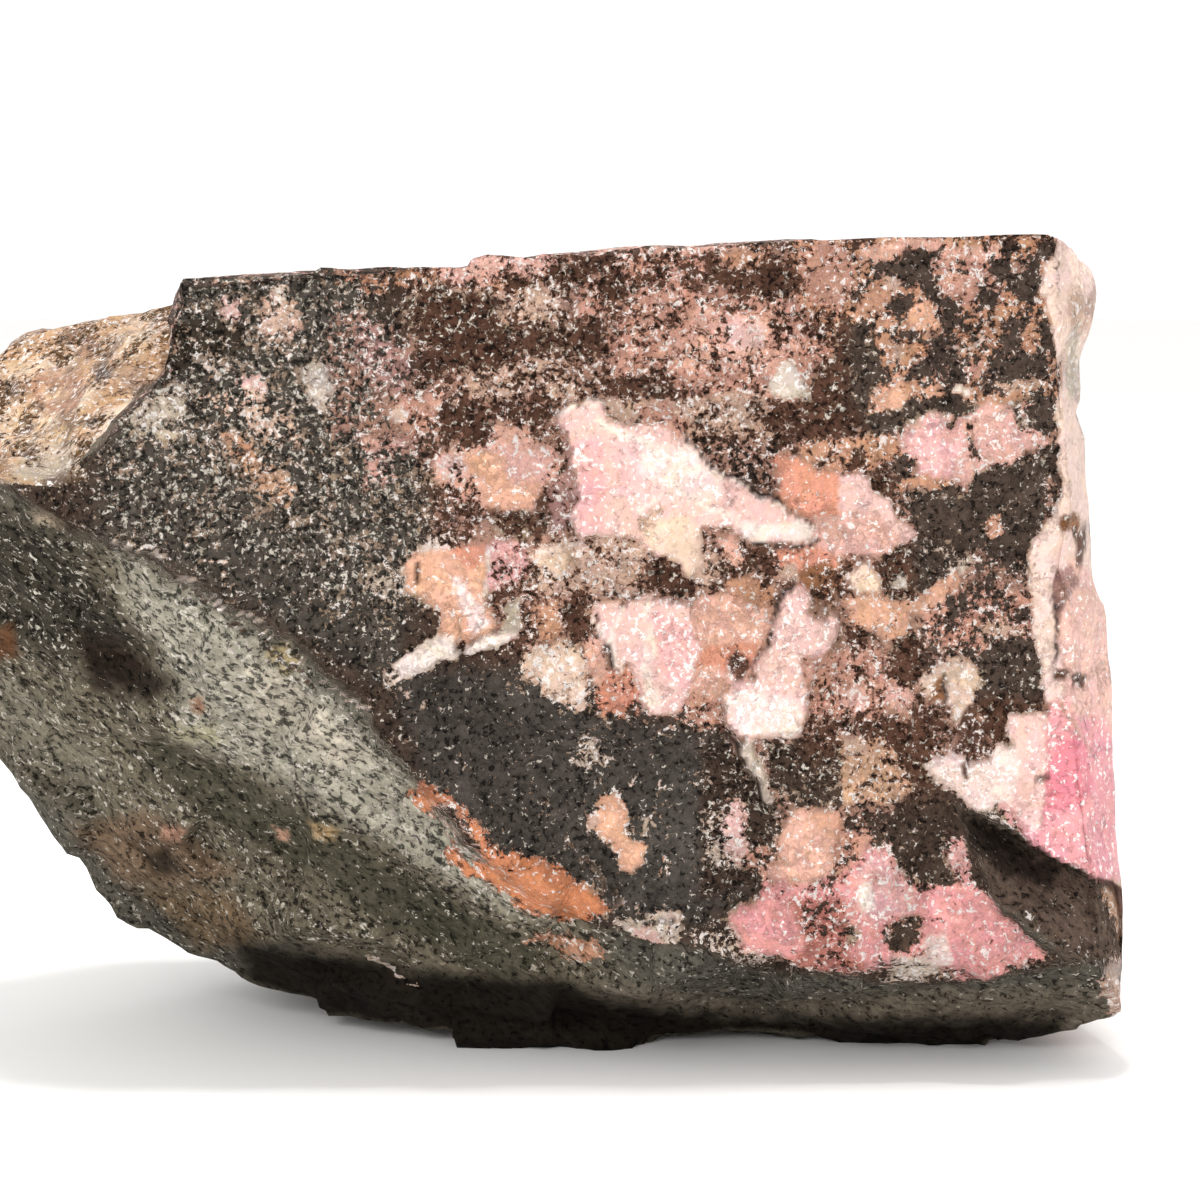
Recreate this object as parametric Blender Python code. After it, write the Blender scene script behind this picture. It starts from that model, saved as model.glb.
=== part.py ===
"""Rough rhodonite: one broken block of stone, resting on a flat patch of its underside.

The block is a box grid carried onto a set of fracture faces. Each grid point is sent
out from a centre inside the stone until it meets the nearest fracture face, and is then
moved a little by the stone's relief: the raised pink sheets, the ledges, the groove at
the lower right, the ridges of the slope and the general roughness of a broken surface.

Lengths are in millimetres until the last step. X runs along the stone, Y from its front
face to its back, and Z up from the surface it rests on.
"""

import bmesh
import bpy
import numpy as np

NAME = "rhodonite_stone"
MILLIMETRE = 0.001

CELLS_LONG = 44
CELLS_DEEP = 14
CELLS_TALL = 30
CENTRE = np.array([4.5, -0.5, 42.0])
REST_SHIFT = np.array([0.35, -1.8, 0.0])

# The four long edges of the grid, each a row of (share of the length, x, y, z).
FRONT_LOW = np.array([
    (0.00, -61.0, -2.0, 36.0),
    (0.10, -52.0, -2.0, 24.0),
    (0.20, -40.6, -2.5, 11.8),
    (0.34, -23.8, -4.5, 4.4),
    (0.54, 3.0, -11.5, 0.4),
    (0.80, 34.7, -10.0, 2.4),
    (1.00, 58.0, -12.0, 2.5),
])
FRONT_HIGH = np.array([
    (0.00, -61.0, -16.0, 63.0),
    (0.16, -43.0, -29.9, 64.1),
    (0.25, -37.2, -30.1, 72.0),
    (0.33, -32.6, -30.4, 83.2),
    (1.00, 55.2, -26.9, 88.1),
])
BACK_HIGH = np.array([
    (0.00, -59.0, 22.0, 70.0),
    (0.17, -45.0, 27.0, 76.0),
    (0.33, -33.0, 29.0, 81.0),
    (1.00, 57.0, 29.0, 84.0),
])
BACK_LOW = np.array([
    (0.00, -57.0, 22.0, 34.0),
    (0.20, -42.0, 25.0, 14.0),
    (0.34, -26.0, 26.0, 6.0),
    (0.54, 3.0, 27.0, 2.0),
    (1.00, 57.0, 26.0, 4.0),
])

# Fracture faces as (x, y, z of a point on the face, then its outward direction).
SHARED_FACES = np.array([
    (26.2, -26.7, 61.0, 0.043, -0.997, -0.059),    # broad front face
    (-10.9, -21.5, 25.9, -0.303, -0.821, -0.484),  # schist slope, lower part
    (-40.2, -18.5, 41.3, -0.423, -0.737, -0.527),  # schist slope, left part
    (39.2, -19.5, 8.9, -0.009, -0.656, -0.755),    # strip along the front foot
    (26.0, -10.0, 86.6, -0.054, 0.045, 0.998),     # top
    (56.8, -25.5, 61.5, 0.840, -0.540, 0.050),     # strip down the right of the front
    (62.0, -15.5, 61.0, 0.975, 0.200, 0.075),      # right end
    (59.0, -22.5, 86.0, 0.690, -0.100, 0.720),     # top right corner
    (64.8, -12.5, 5.0, 0.420, 0.050, -0.905),      # lower right corner
    (-58.5, -0.5, 29.2, -0.750, 0.020, -0.660),    # underside of the left end
    (-41.2, -2.5, 10.4, -0.480, 0.020, -0.876),    # underside, left of the middle
    (-10.0, -8.0, 1.2, -0.165, -0.050, -0.985),     # underside, towards the foot
    (5.0, 28.3, 45.0, 0.060, 0.990, 0.120),        # back
    (0.0, 26.0, 80.0, -0.080, 0.640, 0.770),       # back top bevel
    (-44.0, 24.0, 40.0, -0.560, 0.800, -0.180),    # back left
    (46.0, 27.5, 44.0, 0.560, 0.820, -0.080),      # back right
    (8.0, 27.5, 9.0, 0.060, 0.700, -0.710),        # back foot bevel
    (0.0, 0.0, -1.0, 0.0, 0.0, -1.0),              # resting face
])
BLOCK_FACES = np.array([
    (-34.4, -30.0, 77.0, -0.970, -0.060, 0.230),   # step down to the left lump
])
FOOT_FACES = np.array([
    (-39.0, -30.0, 69.0, -0.820, -0.060, 0.570),   # flared foot of the step
])
LUMP_FACES = np.array([
    (-43.0, -29.9, 64.1, -0.336, -0.441, 0.832),   # tan face
    (-46.0, 2.0, 79.3, -0.150, 0.100, 0.980),      # top of the lump
    (-55.0, 6.0, 76.3, -0.500, 0.000, 0.866),      # upper left bevel
    (-64.6, 6.5, 60.0, -0.965, -0.050, 0.260),     # left end
    (-63.6, 3.0, 46.0, -0.920, -0.060, -0.390),    # left end, lower part
    (-46.0, -28.2, 60.0, -0.560, -0.820, -0.100),  # front of the lump
])
EDGE_SOFTNESS = 0.35
FACE_WOBBLE = 0.55
WOBBLE_SIZE = 15.0

# General roughness as (size across, greatest height, seed of its random field).
SWELLS = [(22.0, 0.7, 43), (9.0, 0.3, 44), (4.0, 0.15, 46)]
RIDGES = [(5.5, 0.7, 41), (2.8, 0.25, 42)]
CHIP_SIZE = 11.0
CHIP_SEED = 45
CHIP_LEAN = 0.12
CHIP_SHARPNESS = 14.0
CALM_ON_FLAT_FACES = 0.62
TURN_ABOUT_X = 0.7
TURN_ABOUT_Z = 0.5

# Direction in which the layers of the schist slope run, and how far a ridge of the
# given size is drawn out along it: 1 / (share kept of the run).
LAYER_RUN = np.array([0.780, 0.070, -0.620])
LAYER_RUN /= np.linalg.norm(LAYER_RUN)
LAYER_KEPT = 0.28

# Raised or sunk patches of the front as (height outwards, width of the edge, then the
# outline as x, z pairs going round it). The outlines are the real broken edges.
FRONT_PATCHES = [
    (1.3, 1.2, [(4, 72), (14, 72), (20, 67), (26, 62.5), (32, 58.5), (29, 56.5),
                (15, 57), (8, 58)]),
    (1.7, 1.0, [(29, 53.5), (27, 48.5), (25, 43), (22, 41), (22.3, 37), (30.5, 37.5),
                (34.5, 49)]),
    (1.2, 1.2, [(-11.5, 45), (-7, 48), (-4.5, 46.6), (-0.5, 48), (-2, 45.5), (-8, 43.7)]),
    (1.3, 1.2, [(0.5, 46.5), (5.5, 48), (8.5, 46), (8.8, 41.5), (6.5, 39), (3, 41)]),
    (0.9, 2.0, [(8, 53), (20, 53), (21, 45), (15, 38.5), (9, 42)]),
    (1.3, 1.4, [(22, 37.5), (26.5, 37), (28.4, 30), (26.6, 28.5)]),
    (0.9, 2.5, [(-10.5, 58), (-2, 59), (-1, 48), (-9, 48)]),
    (-1.3, 2.5, [(-9, 42), (3, 37), (22, 35), (26, 28), (25, 20), (10, 20), (-1, 27)]),
    (-1.0, 3.0, [(40, 58), (54, 60), (54, 50), (44, 52)]),
    (0.9, 1.5, [(42, 40), (54, 42), (55, 30), (46, 31)]),
    (1.0, 2.0, [(22, 18), (36, 26), (52, 15), (36, 13)]),
    (-1.0, 2.0, [(9, 18.5), (20, 18.5), (21, 17.2), (9, 17.2)]),
]

# Groove at the lower right: its upper and lower lips as x, z and its greatest depth.
GROOVE_UPPER = ((45.5, 30.0), (64.5, 19.6))
GROOVE_LOWER = ((45.5, 29.0), (62.5, 11.2))
GROOVE_DEPTH = 5.2
GROOVE_RUN_IN = 6.0

# Lumps and hollows as (x, y, z, reach, height outwards).
LUMPS = [
    (-39.0, -19.0, 43.8, 5.5, -2.2),
    (-47.0, -11.5, 37.0, 6.0, 1.3),
    (-37.0, -19.0, 39.0, 4.0, 1.4),
    (-30.0, -25.0, 44.5, 7.0, 1.0),
    (-52.0, -14.0, 67.0, 6.0, -1.4),
    (-43.0, -20.0, 71.0, 5.0, 1.2),
    (-56.0, -8.0, 62.0, 6.0, 1.2),
    (60.5, -20.0, 82.0, 5.0, 1.0),
    (58.5, -22.0, 76.0, 3.5, -1.6),
    (57.0, -25.0, 54.5, 3.6, -1.5),
    (65.0, -14.0, 15.5, 6.0, 0.5),
    (61.5, -20.0, 21.0, 4.0, 1.0),
    (24.0, -13.0, 4.0, 14.0, -2.2),
    (-22.0, -14.0, 15.0, 9.0, 1.2),
    (-8.0, -19.0, 20.0, 6.0, 0.8),
    (20.0, 31.0, 55.0, 13.0, -2.2),
    (-22.0, 30.0, 60.0, 10.0, 1.8),
    (40.0, 30.0, 28.0, 9.0, 1.6),
    (0.0, 10.0, 84.0, 12.0, -1.2),
    (36.0, 8.0, 87.0, 9.0, 0.9),
    (61.5, -16.0, 66.0, 8.0, -1.0),
    (64.0, 10.0, 34.0, 8.0, -1.8),
    (-50.0, 24.0, 50.0, 9.0, 1.6),
    (-33.5, -28.0, 84.5, 7.0, -1.1),
    (55.5, -26.0, 88.0, 7.0, -1.3),
    (62.5, -15.0, 73.0, 5.0, -1.3),
    (-59.5, -12.0, 62.0, 6.0, -1.0),
    (-30.0, -5.0, 12.5, 7.0, 1.0),
    (66.0, -13.0, 7.0, 4.0, -1.4),
]


def along(rail, share):
    """Points at the given shares of the length of one long edge of the grid."""
    return np.stack([np.interp(share, rail[:, 0], rail[:, k]) for k in (1, 2, 3)], 1)


def grid_points(long_share, deep_share, tall_share):
    """Points of the box grid, eased between its four long edges."""
    deep = deep_share[:, None]
    tall = tall_share[:, None]
    low = (1 - deep) * along(FRONT_LOW, long_share) + deep * along(BACK_LOW, long_share)
    high = (1 - deep) * along(FRONT_HIGH, long_share) + deep * along(BACK_HIGH, long_share)
    return (1 - tall) * low + tall * high


def turned(points):
    """Points turned about X, then Z, so that random fields miss the grid's directions."""
    cx, sx = np.cos(TURN_ABOUT_X), np.sin(TURN_ABOUT_X)
    cz, sz = np.cos(TURN_ABOUT_Z), np.sin(TURN_ABOUT_Z)
    about_x = np.array([(1, 0, 0), (0, cx, -sx), (0, sx, cx)])
    about_z = np.array([(cz, -sz, 0), (sz, cz, 0), (0, 0, 1)])
    return points @ about_x @ about_z


def noise(points, size, seed):
    """Smooth random field from -1 to 1 with lumps about the given size across."""
    values = np.random.default_rng(seed).uniform(-1.0, 1.0, (32, 32, 32))
    cell = turned(points) / size
    low = np.floor(cell).astype(int)
    part = cell - low
    part = part * part * (3.0 - 2.0 * part)
    total = np.zeros(len(points))
    for corner in np.ndindex(2, 2, 2):
        weight = np.prod(np.where(corner, part, 1.0 - part), axis=1)
        x, y, z = ((low + corner) % 32).T
        total += weight * values[x, y, z]
    return total


def chips(points, size, seed):
    """Small flat facets: each point takes the tilt of the chip whose middle is nearest.
    The middles are scattered one to a cell, and a chip leans its own way."""
    draws = np.random.default_rng(seed)
    middles = draws.uniform(0.15, 0.85, (16, 16, 16, 3))
    leans = draws.normal(0.0, CHIP_LEAN, (16, 16, 16, 3))
    cell = turned(points) / size
    base = np.floor(cell).astype(int)
    height = np.zeros(len(points))
    total = np.zeros(len(points))
    for step in np.ndindex(3, 3, 3):
        corner = base + np.array(step) - 1
        x, y, z = (corner % 16).T
        offset = cell - corner - middles[x, y, z]
        nearness = np.exp(-CHIP_SHARPNESS * (offset * offset).sum(axis=1))
        height += nearness * (offset * leans[x, y, z]).sum(axis=1)
        total += nearness
    return size * height / total


def soft_nearest(distances):
    """Soft smallest of each row, and the share every column has in it."""
    nearest = distances.min(axis=1, keepdims=True)
    share = np.exp((nearest - distances) / EDGE_SOFTNESS)
    total = share.sum(axis=1, keepdims=True)
    return nearest[:, 0] - EDGE_SOFTNESS * np.log(total[:, 0]), share / total


def meet_faces(rays, guesses, faces, seed):
    """How far each ray runs to the nearest of the faces, and the way the surface faces
    there. Every face bulges a little, so that its edges run like broken ones."""
    middles = faces[:, :3]
    outward = faces[:, 3:] / np.linalg.norm(faces[:, 3:], axis=1, keepdims=True)
    gap = ((middles - CENTRE) * outward).sum(axis=1)
    wobble = np.stack([noise(guesses, WOBBLE_SIZE, seed + k) for k in range(len(faces))], 1)
    slant = rays @ outward.T
    distance = (gap + FACE_WOBBLE * wobble) / np.maximum(slant, 1e-3)
    distance = np.where(slant > 1e-3, distance, 1e3)
    reach, share = soft_nearest(distance)
    facing = share @ outward
    return reach, facing / np.linalg.norm(facing, axis=1, keepdims=True)


def outline_depth(points, outline):
    """Distance inside an outline drawn on the front, negative outside it."""
    x, z = points[:, 0], points[:, 2]
    distance = np.full(len(points), np.inf)
    inside = np.zeros(len(points), bool)
    corners = list(zip(outline, outline[1:] + outline[:1]))
    for (ax, az), (bx, bz) in corners:
        run, rise = bx - ax, bz - az
        share = ((x - ax) * run + (z - az) * rise) / (run * run + rise * rise)
        share = np.clip(share, 0.0, 1.0)
        distance = np.minimum(distance, np.hypot(x - ax - share * run, z - az - share * rise))
        crosses = (az > z) != (bz > z)
        slope_x = ax + (z - az) * run / (rise if rise else 1e-9)
        inside ^= crosses & (x < slope_x)
    return np.where(inside, distance, -distance)


def ease(value):
    """Rises smoothly from 0 to 1 as the value does."""
    value = np.clip(value, 0.0, 1.0)
    return value * value * (3.0 - 2.0 * value)


def below_line(points, line):
    """How far each point lies below a line drawn on the front, in x and z."""
    (ax, az), (bx, bz) = line
    run, rise = bx - ax, bz - az
    length = np.hypot(run, rise)
    return ((points[:, 0] - ax) * rise - (points[:, 2] - az) * run) / length


def front_relief(points, facing):
    """Movement of the front: patches rise or sink along Y, and the groove is a ramp
    that runs in from its lower lip and stops at the wall under its upper lip."""
    towards_front = ease((-facing[:, 1] - 0.35) / 0.3)
    height = np.zeros(len(points))
    for rise, edge, outline in FRONT_PATCHES:
        height += rise * ease(outline_depth(points, outline) / edge + 0.5)
    under = below_line(points, GROOVE_UPPER)
    over = -below_line(points, GROOVE_LOWER)
    within = (under > 0) & (over > 0) & (points[:, 0] > GROOVE_UPPER[0][0])
    ramp = over / np.maximum(over + under, 1e-6)
    run_in = ease((points[:, 0] - GROOVE_UPPER[0][0]) / GROOVE_RUN_IN)
    height -= np.where(within, GROOVE_DEPTH * ramp * run_in, 0.0)
    return towards_front[:, None] * height[:, None] * np.array([0.0, -1.0, 0.0])


def layered(points):
    """Points with their run along the layers of the slope shortened, so that a random
    field of them is drawn out into ridges."""
    length = points @ LAYER_RUN
    return points - (1.0 - LAYER_KEPT) * length[:, None] * LAYER_RUN


def roughness(points, facing):
    """Height of the general roughness: slow swells, layered ridges and flat chips on
    the slope and the back, and much less of each on the flat front and top."""
    front = ease((-facing[:, 1] - 0.86) / 0.1)
    top = ease((facing[:, 2] - 0.9) / 0.08)
    calm = 1.0 - CALM_ON_FLAT_FACES * np.maximum(front, top)
    height = chips(points, CHIP_SIZE, CHIP_SEED)
    for size, rise, seed in SWELLS:
        height += rise * noise(points, size, seed)
    slope = ease((-facing[:, 2] - 0.2) / 0.2) * ease((-facing[:, 1] - 0.3) / 0.2)
    ridges = sum(rise * noise(layered(points), size, seed) for size, rise, seed in RIDGES)
    return calm * height + slope * ridges


def lumps(points):
    """Height of the hand-placed lumps and hollows."""
    height = np.zeros(len(points))
    for x, y, z, reach, rise in LUMPS:
        distance = np.linalg.norm(points - np.array([x, y, z]), axis=1)
        height += rise * np.exp(-((distance / reach) ** 2))
    return height


def stone_surface(long_share, deep_share, tall_share):
    """Points of the stone's surface for points of the box grid."""
    guesses = grid_points(long_share, deep_share, tall_share)
    rays = guesses - CENTRE
    rays /= np.linalg.norm(rays, axis=1, keepdims=True)
    reach = np.zeros(len(rays))
    facing = np.zeros((len(rays), 3))
    for own_faces in (BLOCK_FACES, FOOT_FACES, LUMP_FACES):
        faces = np.vstack([SHARED_FACES, own_faces])
        body_reach, body_facing = meet_faces(rays, guesses, faces, 100)
        facing = np.where((body_reach > reach)[:, None], body_facing, facing)
        reach = np.maximum(reach, body_reach)
    points = CENTRE + rays * reach[:, None]
    height = roughness(points, facing) + lumps(points)
    points = points + facing * height[:, None] + front_relief(points, facing)
    points[:, 2] = np.maximum(points[:, 2], 0.0)
    return points + REST_SHIFT


def box_grid():
    """A unit cube cut into the cells of the box grid."""
    form = bmesh.new()
    bmesh.ops.create_cube(form, size=1.0)
    bmesh.ops.translate(form, verts=form.verts, vec=(0.5, 0.5, 0.5))
    for axis, cells in enumerate((CELLS_LONG, CELLS_DEEP, CELLS_TALL)):
        direction = [0.0, 0.0, 0.0]
        direction[axis] = 1.0
        for step in range(1, cells):
            place = [value * step / cells for value in direction]
            everything = form.verts[:] + form.edges[:] + form.faces[:]
            bmesh.ops.bisect_plane(form, geom=everything, plane_co=place, plane_no=direction)
    return form


def join_resting_face(form):
    """Joins the level faces of the underside into one, the flat that the stone rests on."""
    form.normal_update()
    resting = [face for face in form.faces if all(v.co.z == 0.0 for v in face.verts)]
    bmesh.ops.dissolve_faces(form, faces=resting)


def build_stone():
    """The stone as one closed mesh object in metres."""
    form = box_grid()
    shares = np.array([vertex.co[:] for vertex in form.verts])
    points = stone_surface(*shares.T) * MILLIMETRE
    for vertex, point in zip(form.verts, points):
        vertex.co = point
    join_resting_face(form)
    bmesh.ops.triangulate(form, faces=form.faces[:], quad_method="SHORT_EDGE")
    bmesh.ops.recalc_face_normals(form, faces=form.faces[:])
    mesh = bpy.data.meshes.new(NAME)
    form.to_mesh(mesh)
    form.free()
    return bpy.data.objects.new(NAME, mesh)


def stone_material():
    """Pink manganese silicate with dark oxide: a dull, slightly glossy stone."""
    material = bpy.data.materials.new("rhodonite")
    material.use_nodes = True
    surface = material.node_tree.nodes["Principled BSDF"]
    surface.inputs["Base Color"].default_value = (0.30, 0.19, 0.17, 1.0)
    surface.inputs["Roughness"].default_value = 0.5
    surface.inputs["Metallic"].default_value = 0.0
    return material


def main():
    """Clears the scene and builds the stone in its own collection."""
    for item in list(bpy.data.objects):
        bpy.data.objects.remove(item)
    collection = bpy.data.collections.new("rough_rhodonite")
    bpy.context.scene.collection.children.link(collection)
    stone = build_stone()
    stone.data.materials.append(stone_material())
    collection.objects.link(stone)


main()
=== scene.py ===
"""Rough rhodonite: the looks of the stone, on a plain pale floor in soft light.

The stone is one closed surface worked out from the same fracture faces as its solid, with a finer
grid, so that the broken edges, chips and layers show. Its minerals are drawn on a chart of the
front and by random fields elsewhere, as point attributes, and the material adds the grain; painted
shade, shadows and highlights are drawn among them in the same way. Lengths here are millimetres
until a mesh is made.
"""

import math

import bpy
import numpy as np
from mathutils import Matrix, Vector


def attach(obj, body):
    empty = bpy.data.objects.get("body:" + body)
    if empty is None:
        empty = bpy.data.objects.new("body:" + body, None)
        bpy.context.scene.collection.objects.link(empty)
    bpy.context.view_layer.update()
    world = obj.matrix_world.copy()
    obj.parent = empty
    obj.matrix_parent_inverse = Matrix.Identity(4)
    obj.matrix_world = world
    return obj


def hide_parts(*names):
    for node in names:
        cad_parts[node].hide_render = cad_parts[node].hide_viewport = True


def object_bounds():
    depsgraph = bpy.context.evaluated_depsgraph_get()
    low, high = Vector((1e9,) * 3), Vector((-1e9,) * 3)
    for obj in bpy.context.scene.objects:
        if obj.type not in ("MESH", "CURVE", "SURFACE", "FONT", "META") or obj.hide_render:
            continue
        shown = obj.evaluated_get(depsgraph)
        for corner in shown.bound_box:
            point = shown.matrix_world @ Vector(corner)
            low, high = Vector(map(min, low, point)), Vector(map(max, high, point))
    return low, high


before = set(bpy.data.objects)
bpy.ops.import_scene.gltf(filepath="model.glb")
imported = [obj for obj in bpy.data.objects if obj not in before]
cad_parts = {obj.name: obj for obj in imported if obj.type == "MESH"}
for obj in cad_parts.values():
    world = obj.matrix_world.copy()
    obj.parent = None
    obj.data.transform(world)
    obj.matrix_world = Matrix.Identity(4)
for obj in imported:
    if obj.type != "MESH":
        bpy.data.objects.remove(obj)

CAD_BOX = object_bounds()
NODE = "rhodonite_stone"
MILLIMETRE = 0.001

# ---------------------------------------------------------------- shape of the stone

# The surface is a box grid with this many cells along, deep and tall. Its front is this
# many times finer, and its rows of cells crowd towards the front by this power.
CELLS = (124, 36, 68)
FRONT_FINER = 3
FRONT_CROWDING = 1.5

# Rays to the surface run from the centre, and the shift brings the middle of the
# stone's box over the origin.
CENTRE = np.array([4.5, -0.5, 42.0])
REST_SHIFT = np.array([0.35, -1.8, 0.0])

# The four long edges of the grid, each a row of (share of the length, x, y, z).
FRONT_LOW = np.array([
    (0.00, -61.0, -2.0, 36.0),
    (0.10, -52.0, -2.0, 24.0),
    (0.20, -40.6, -2.5, 11.8),
    (0.34, -23.8, -4.5, 4.4),
    (0.54, 3.0, -11.5, 0.4),
    (0.80, 34.7, -10.0, 2.4),
    (1.00, 58.0, -12.0, 2.5),
])
FRONT_HIGH = np.array([
    (0.00, -61.0, -16.0, 63.0),
    (0.16, -43.0, -29.9, 64.1),
    (0.25, -37.2, -30.1, 72.0),
    (0.33, -32.6, -30.4, 83.2),
    (1.00, 55.2, -26.9, 88.1),
])
BACK_HIGH = np.array([
    (0.00, -59.0, 22.0, 70.0),
    (0.17, -45.0, 27.0, 76.0),
    (0.33, -33.0, 29.0, 81.0),
    (1.00, 57.0, 29.0, 84.0),
])
BACK_LOW = np.array([
    (0.00, -57.0, 22.0, 34.0),
    (0.20, -42.0, 25.0, 14.0),
    (0.34, -26.0, 26.0, 6.0),
    (0.54, 3.0, 27.0, 2.0),
    (1.00, 57.0, 26.0, 4.0),
])

# Fracture faces as (x, y, z of a point on the face, then its outward direction).
SHARED_FACES = np.array([
    (26.2, -26.7, 61.0, 0.043, -0.997, -0.059),    # broad front face
    (-10.9, -21.5, 25.9, -0.303, -0.821, -0.484),  # schist slope, lower part
    (-40.2, -18.5, 41.3, -0.423, -0.737, -0.527),  # schist slope, left part
    (39.2, -19.5, 8.9, -0.009, -0.656, -0.755),    # strip along the front foot
    (26.0, -10.0, 86.6, -0.054, 0.045, 0.998),     # top
    (56.8, -25.5, 61.5, 0.840, -0.540, 0.050),     # strip down the right of the front
    (62.0, -15.5, 61.0, 0.975, 0.200, 0.075),      # right end
    (59.0, -22.5, 86.0, 0.690, -0.100, 0.720),     # top right corner
    (64.8, -12.5, 5.0, 0.420, 0.050, -0.905),      # lower right corner
    (-58.5, -0.5, 29.2, -0.750, 0.020, -0.660),    # underside of the left end
    (-41.2, -2.5, 10.4, -0.480, 0.020, -0.876),    # underside, left of the middle
    (-10.0, -8.0, 1.2, -0.165, -0.050, -0.985),    # underside, towards the foot
    (5.0, 28.3, 45.0, 0.060, 0.990, 0.120),        # back
    (0.0, 26.0, 80.0, -0.080, 0.640, 0.770),       # back top bevel
    (-44.0, 24.0, 40.0, -0.560, 0.800, -0.180),    # back left
    (46.0, 27.5, 44.0, 0.560, 0.820, -0.080),      # back right
    (8.0, 27.5, 9.0, 0.060, 0.700, -0.710),        # back foot bevel
    (0.0, 0.0, -1.0, 0.0, 0.0, -1.0),              # resting face
])
BLOCK_FACES = np.array([
    (-34.4, -30.0, 77.0, -0.970, -0.060, 0.230),   # step down to the left lump
])
FOOT_FACES = np.array([
    (-39.0, -30.0, 69.0, -0.820, -0.060, 0.570),   # flared foot of the step
])
LUMP_FACES = np.array([
    (-43.0, -29.9, 64.1, -0.336, -0.441, 0.832),   # tan face
    (-46.0, 2.0, 79.3, -0.150, 0.100, 0.980),      # top of the lump
    (-55.0, 6.0, 76.3, -0.500, 0.000, 0.866),      # upper left bevel
    (-64.6, 6.5, 60.0, -0.965, -0.050, 0.260),     # left end
    (-63.6, 3.0, 46.0, -0.920, -0.060, -0.390),    # left end, lower part
    (-46.0, -28.2, 60.0, -0.560, -0.820, -0.100),  # front of the lump
])

# Edges between faces are this soft, and each face bulges by a random field of this
# height and size, with seeds from this one on.
EDGE_SOFTNESS = 0.24
FACE_WOBBLE = 0.55
WOBBLE_SIZE = 15.0
WOBBLE_SEED = 100

# General roughness as (size across, greatest height, seed of its random field).
SWELLS = [(22.0, 0.7, 43), (9.0, 0.3, 44), (4.0, 0.15, 46), (1.6, 0.10, 49)]
RIDGES = [(5.5, 0.7, 41), (2.8, 0.25, 42), (1.3, 0.16, 47)]

# Chips as (share of their height, size across, seed), between which shares of its cell
# a chip's middle lies, their lean as a slope, and how sharply one gives way to the next.
# The flat faces have less of all this roughness.
CHIPS = [(1.0, 11.0, 45), (0.7, 3.6, 48)]
CHIP_MIDDLE = (0.15, 0.85)
CHIP_LEAN = 0.12
CHIP_SHARPNESS = 34.0
CALM_ON_FLAT_FACES = 0.62

# Random fields repeat after this many corners, and chips after this many chips. Both
# are turned by these angles about X and Z.
FIELD_CORNERS = 32
CHIP_CELLS = 16
TURN_ABOUT_X = 0.7
TURN_ABOUT_Z = 0.5

# The surface is eased back over this much when it nears a side of the solid's box.
BOX_MARGIN = 1.2

# A ray meets a face only if it runs outwards at least this much, and otherwise counts
# as this far from it. The last number keeps divisions away from nothing.
LEAST_SLANT = 1e-3
FAR = 1e3
TINY = 1e-12

# How squarely the surface has to face a direction, as the cosine of the angle between
# them, for what follows: it begins at the first number and is full at the second.
FLAT_FRONT = (0.86, 0.96)
FLAT_TOP = (0.90, 0.98)
FLAT_RIGHT = (0.60, 0.80)
SLOPE_DOWN = (0.20, 0.40)
SLOPE_FORWARD = (0.30, 0.50)
RELIEF_FORWARD = (0.35, 0.65)
CHART_FORWARD = (0.28, 0.44)
SCHIST_DOWN = (0.05, 0.35)
UNDERSIDE_SHADE_DOWN = (0.75, 0.90)
TAN_UP = (0.12, 0.32)
TAN_FORWARD = (0.0, 0.1)

# Direction in which the layers of the schist slope run, and how far a ridge of the
# given size is drawn out along it: 1 / (share kept of the run).
LAYER_RUN = np.array([0.780, 0.070, -0.620])
LAYER_RUN /= np.linalg.norm(LAYER_RUN)
LAYER_KEPT = 0.28

# Groove at the lower right: its upper and lower lips as x, z, its greatest depth, and
# the length over which it runs in from the left.
GROOVE_UPPER = ((45.5, 30.0), (64.5, 19.6))
GROOVE_LOWER = ((45.5, 29.0), (62.5, 11.2))
GROOVE_DEPTH = 5.2
GROOVE_RUN_IN = 6.0

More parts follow.
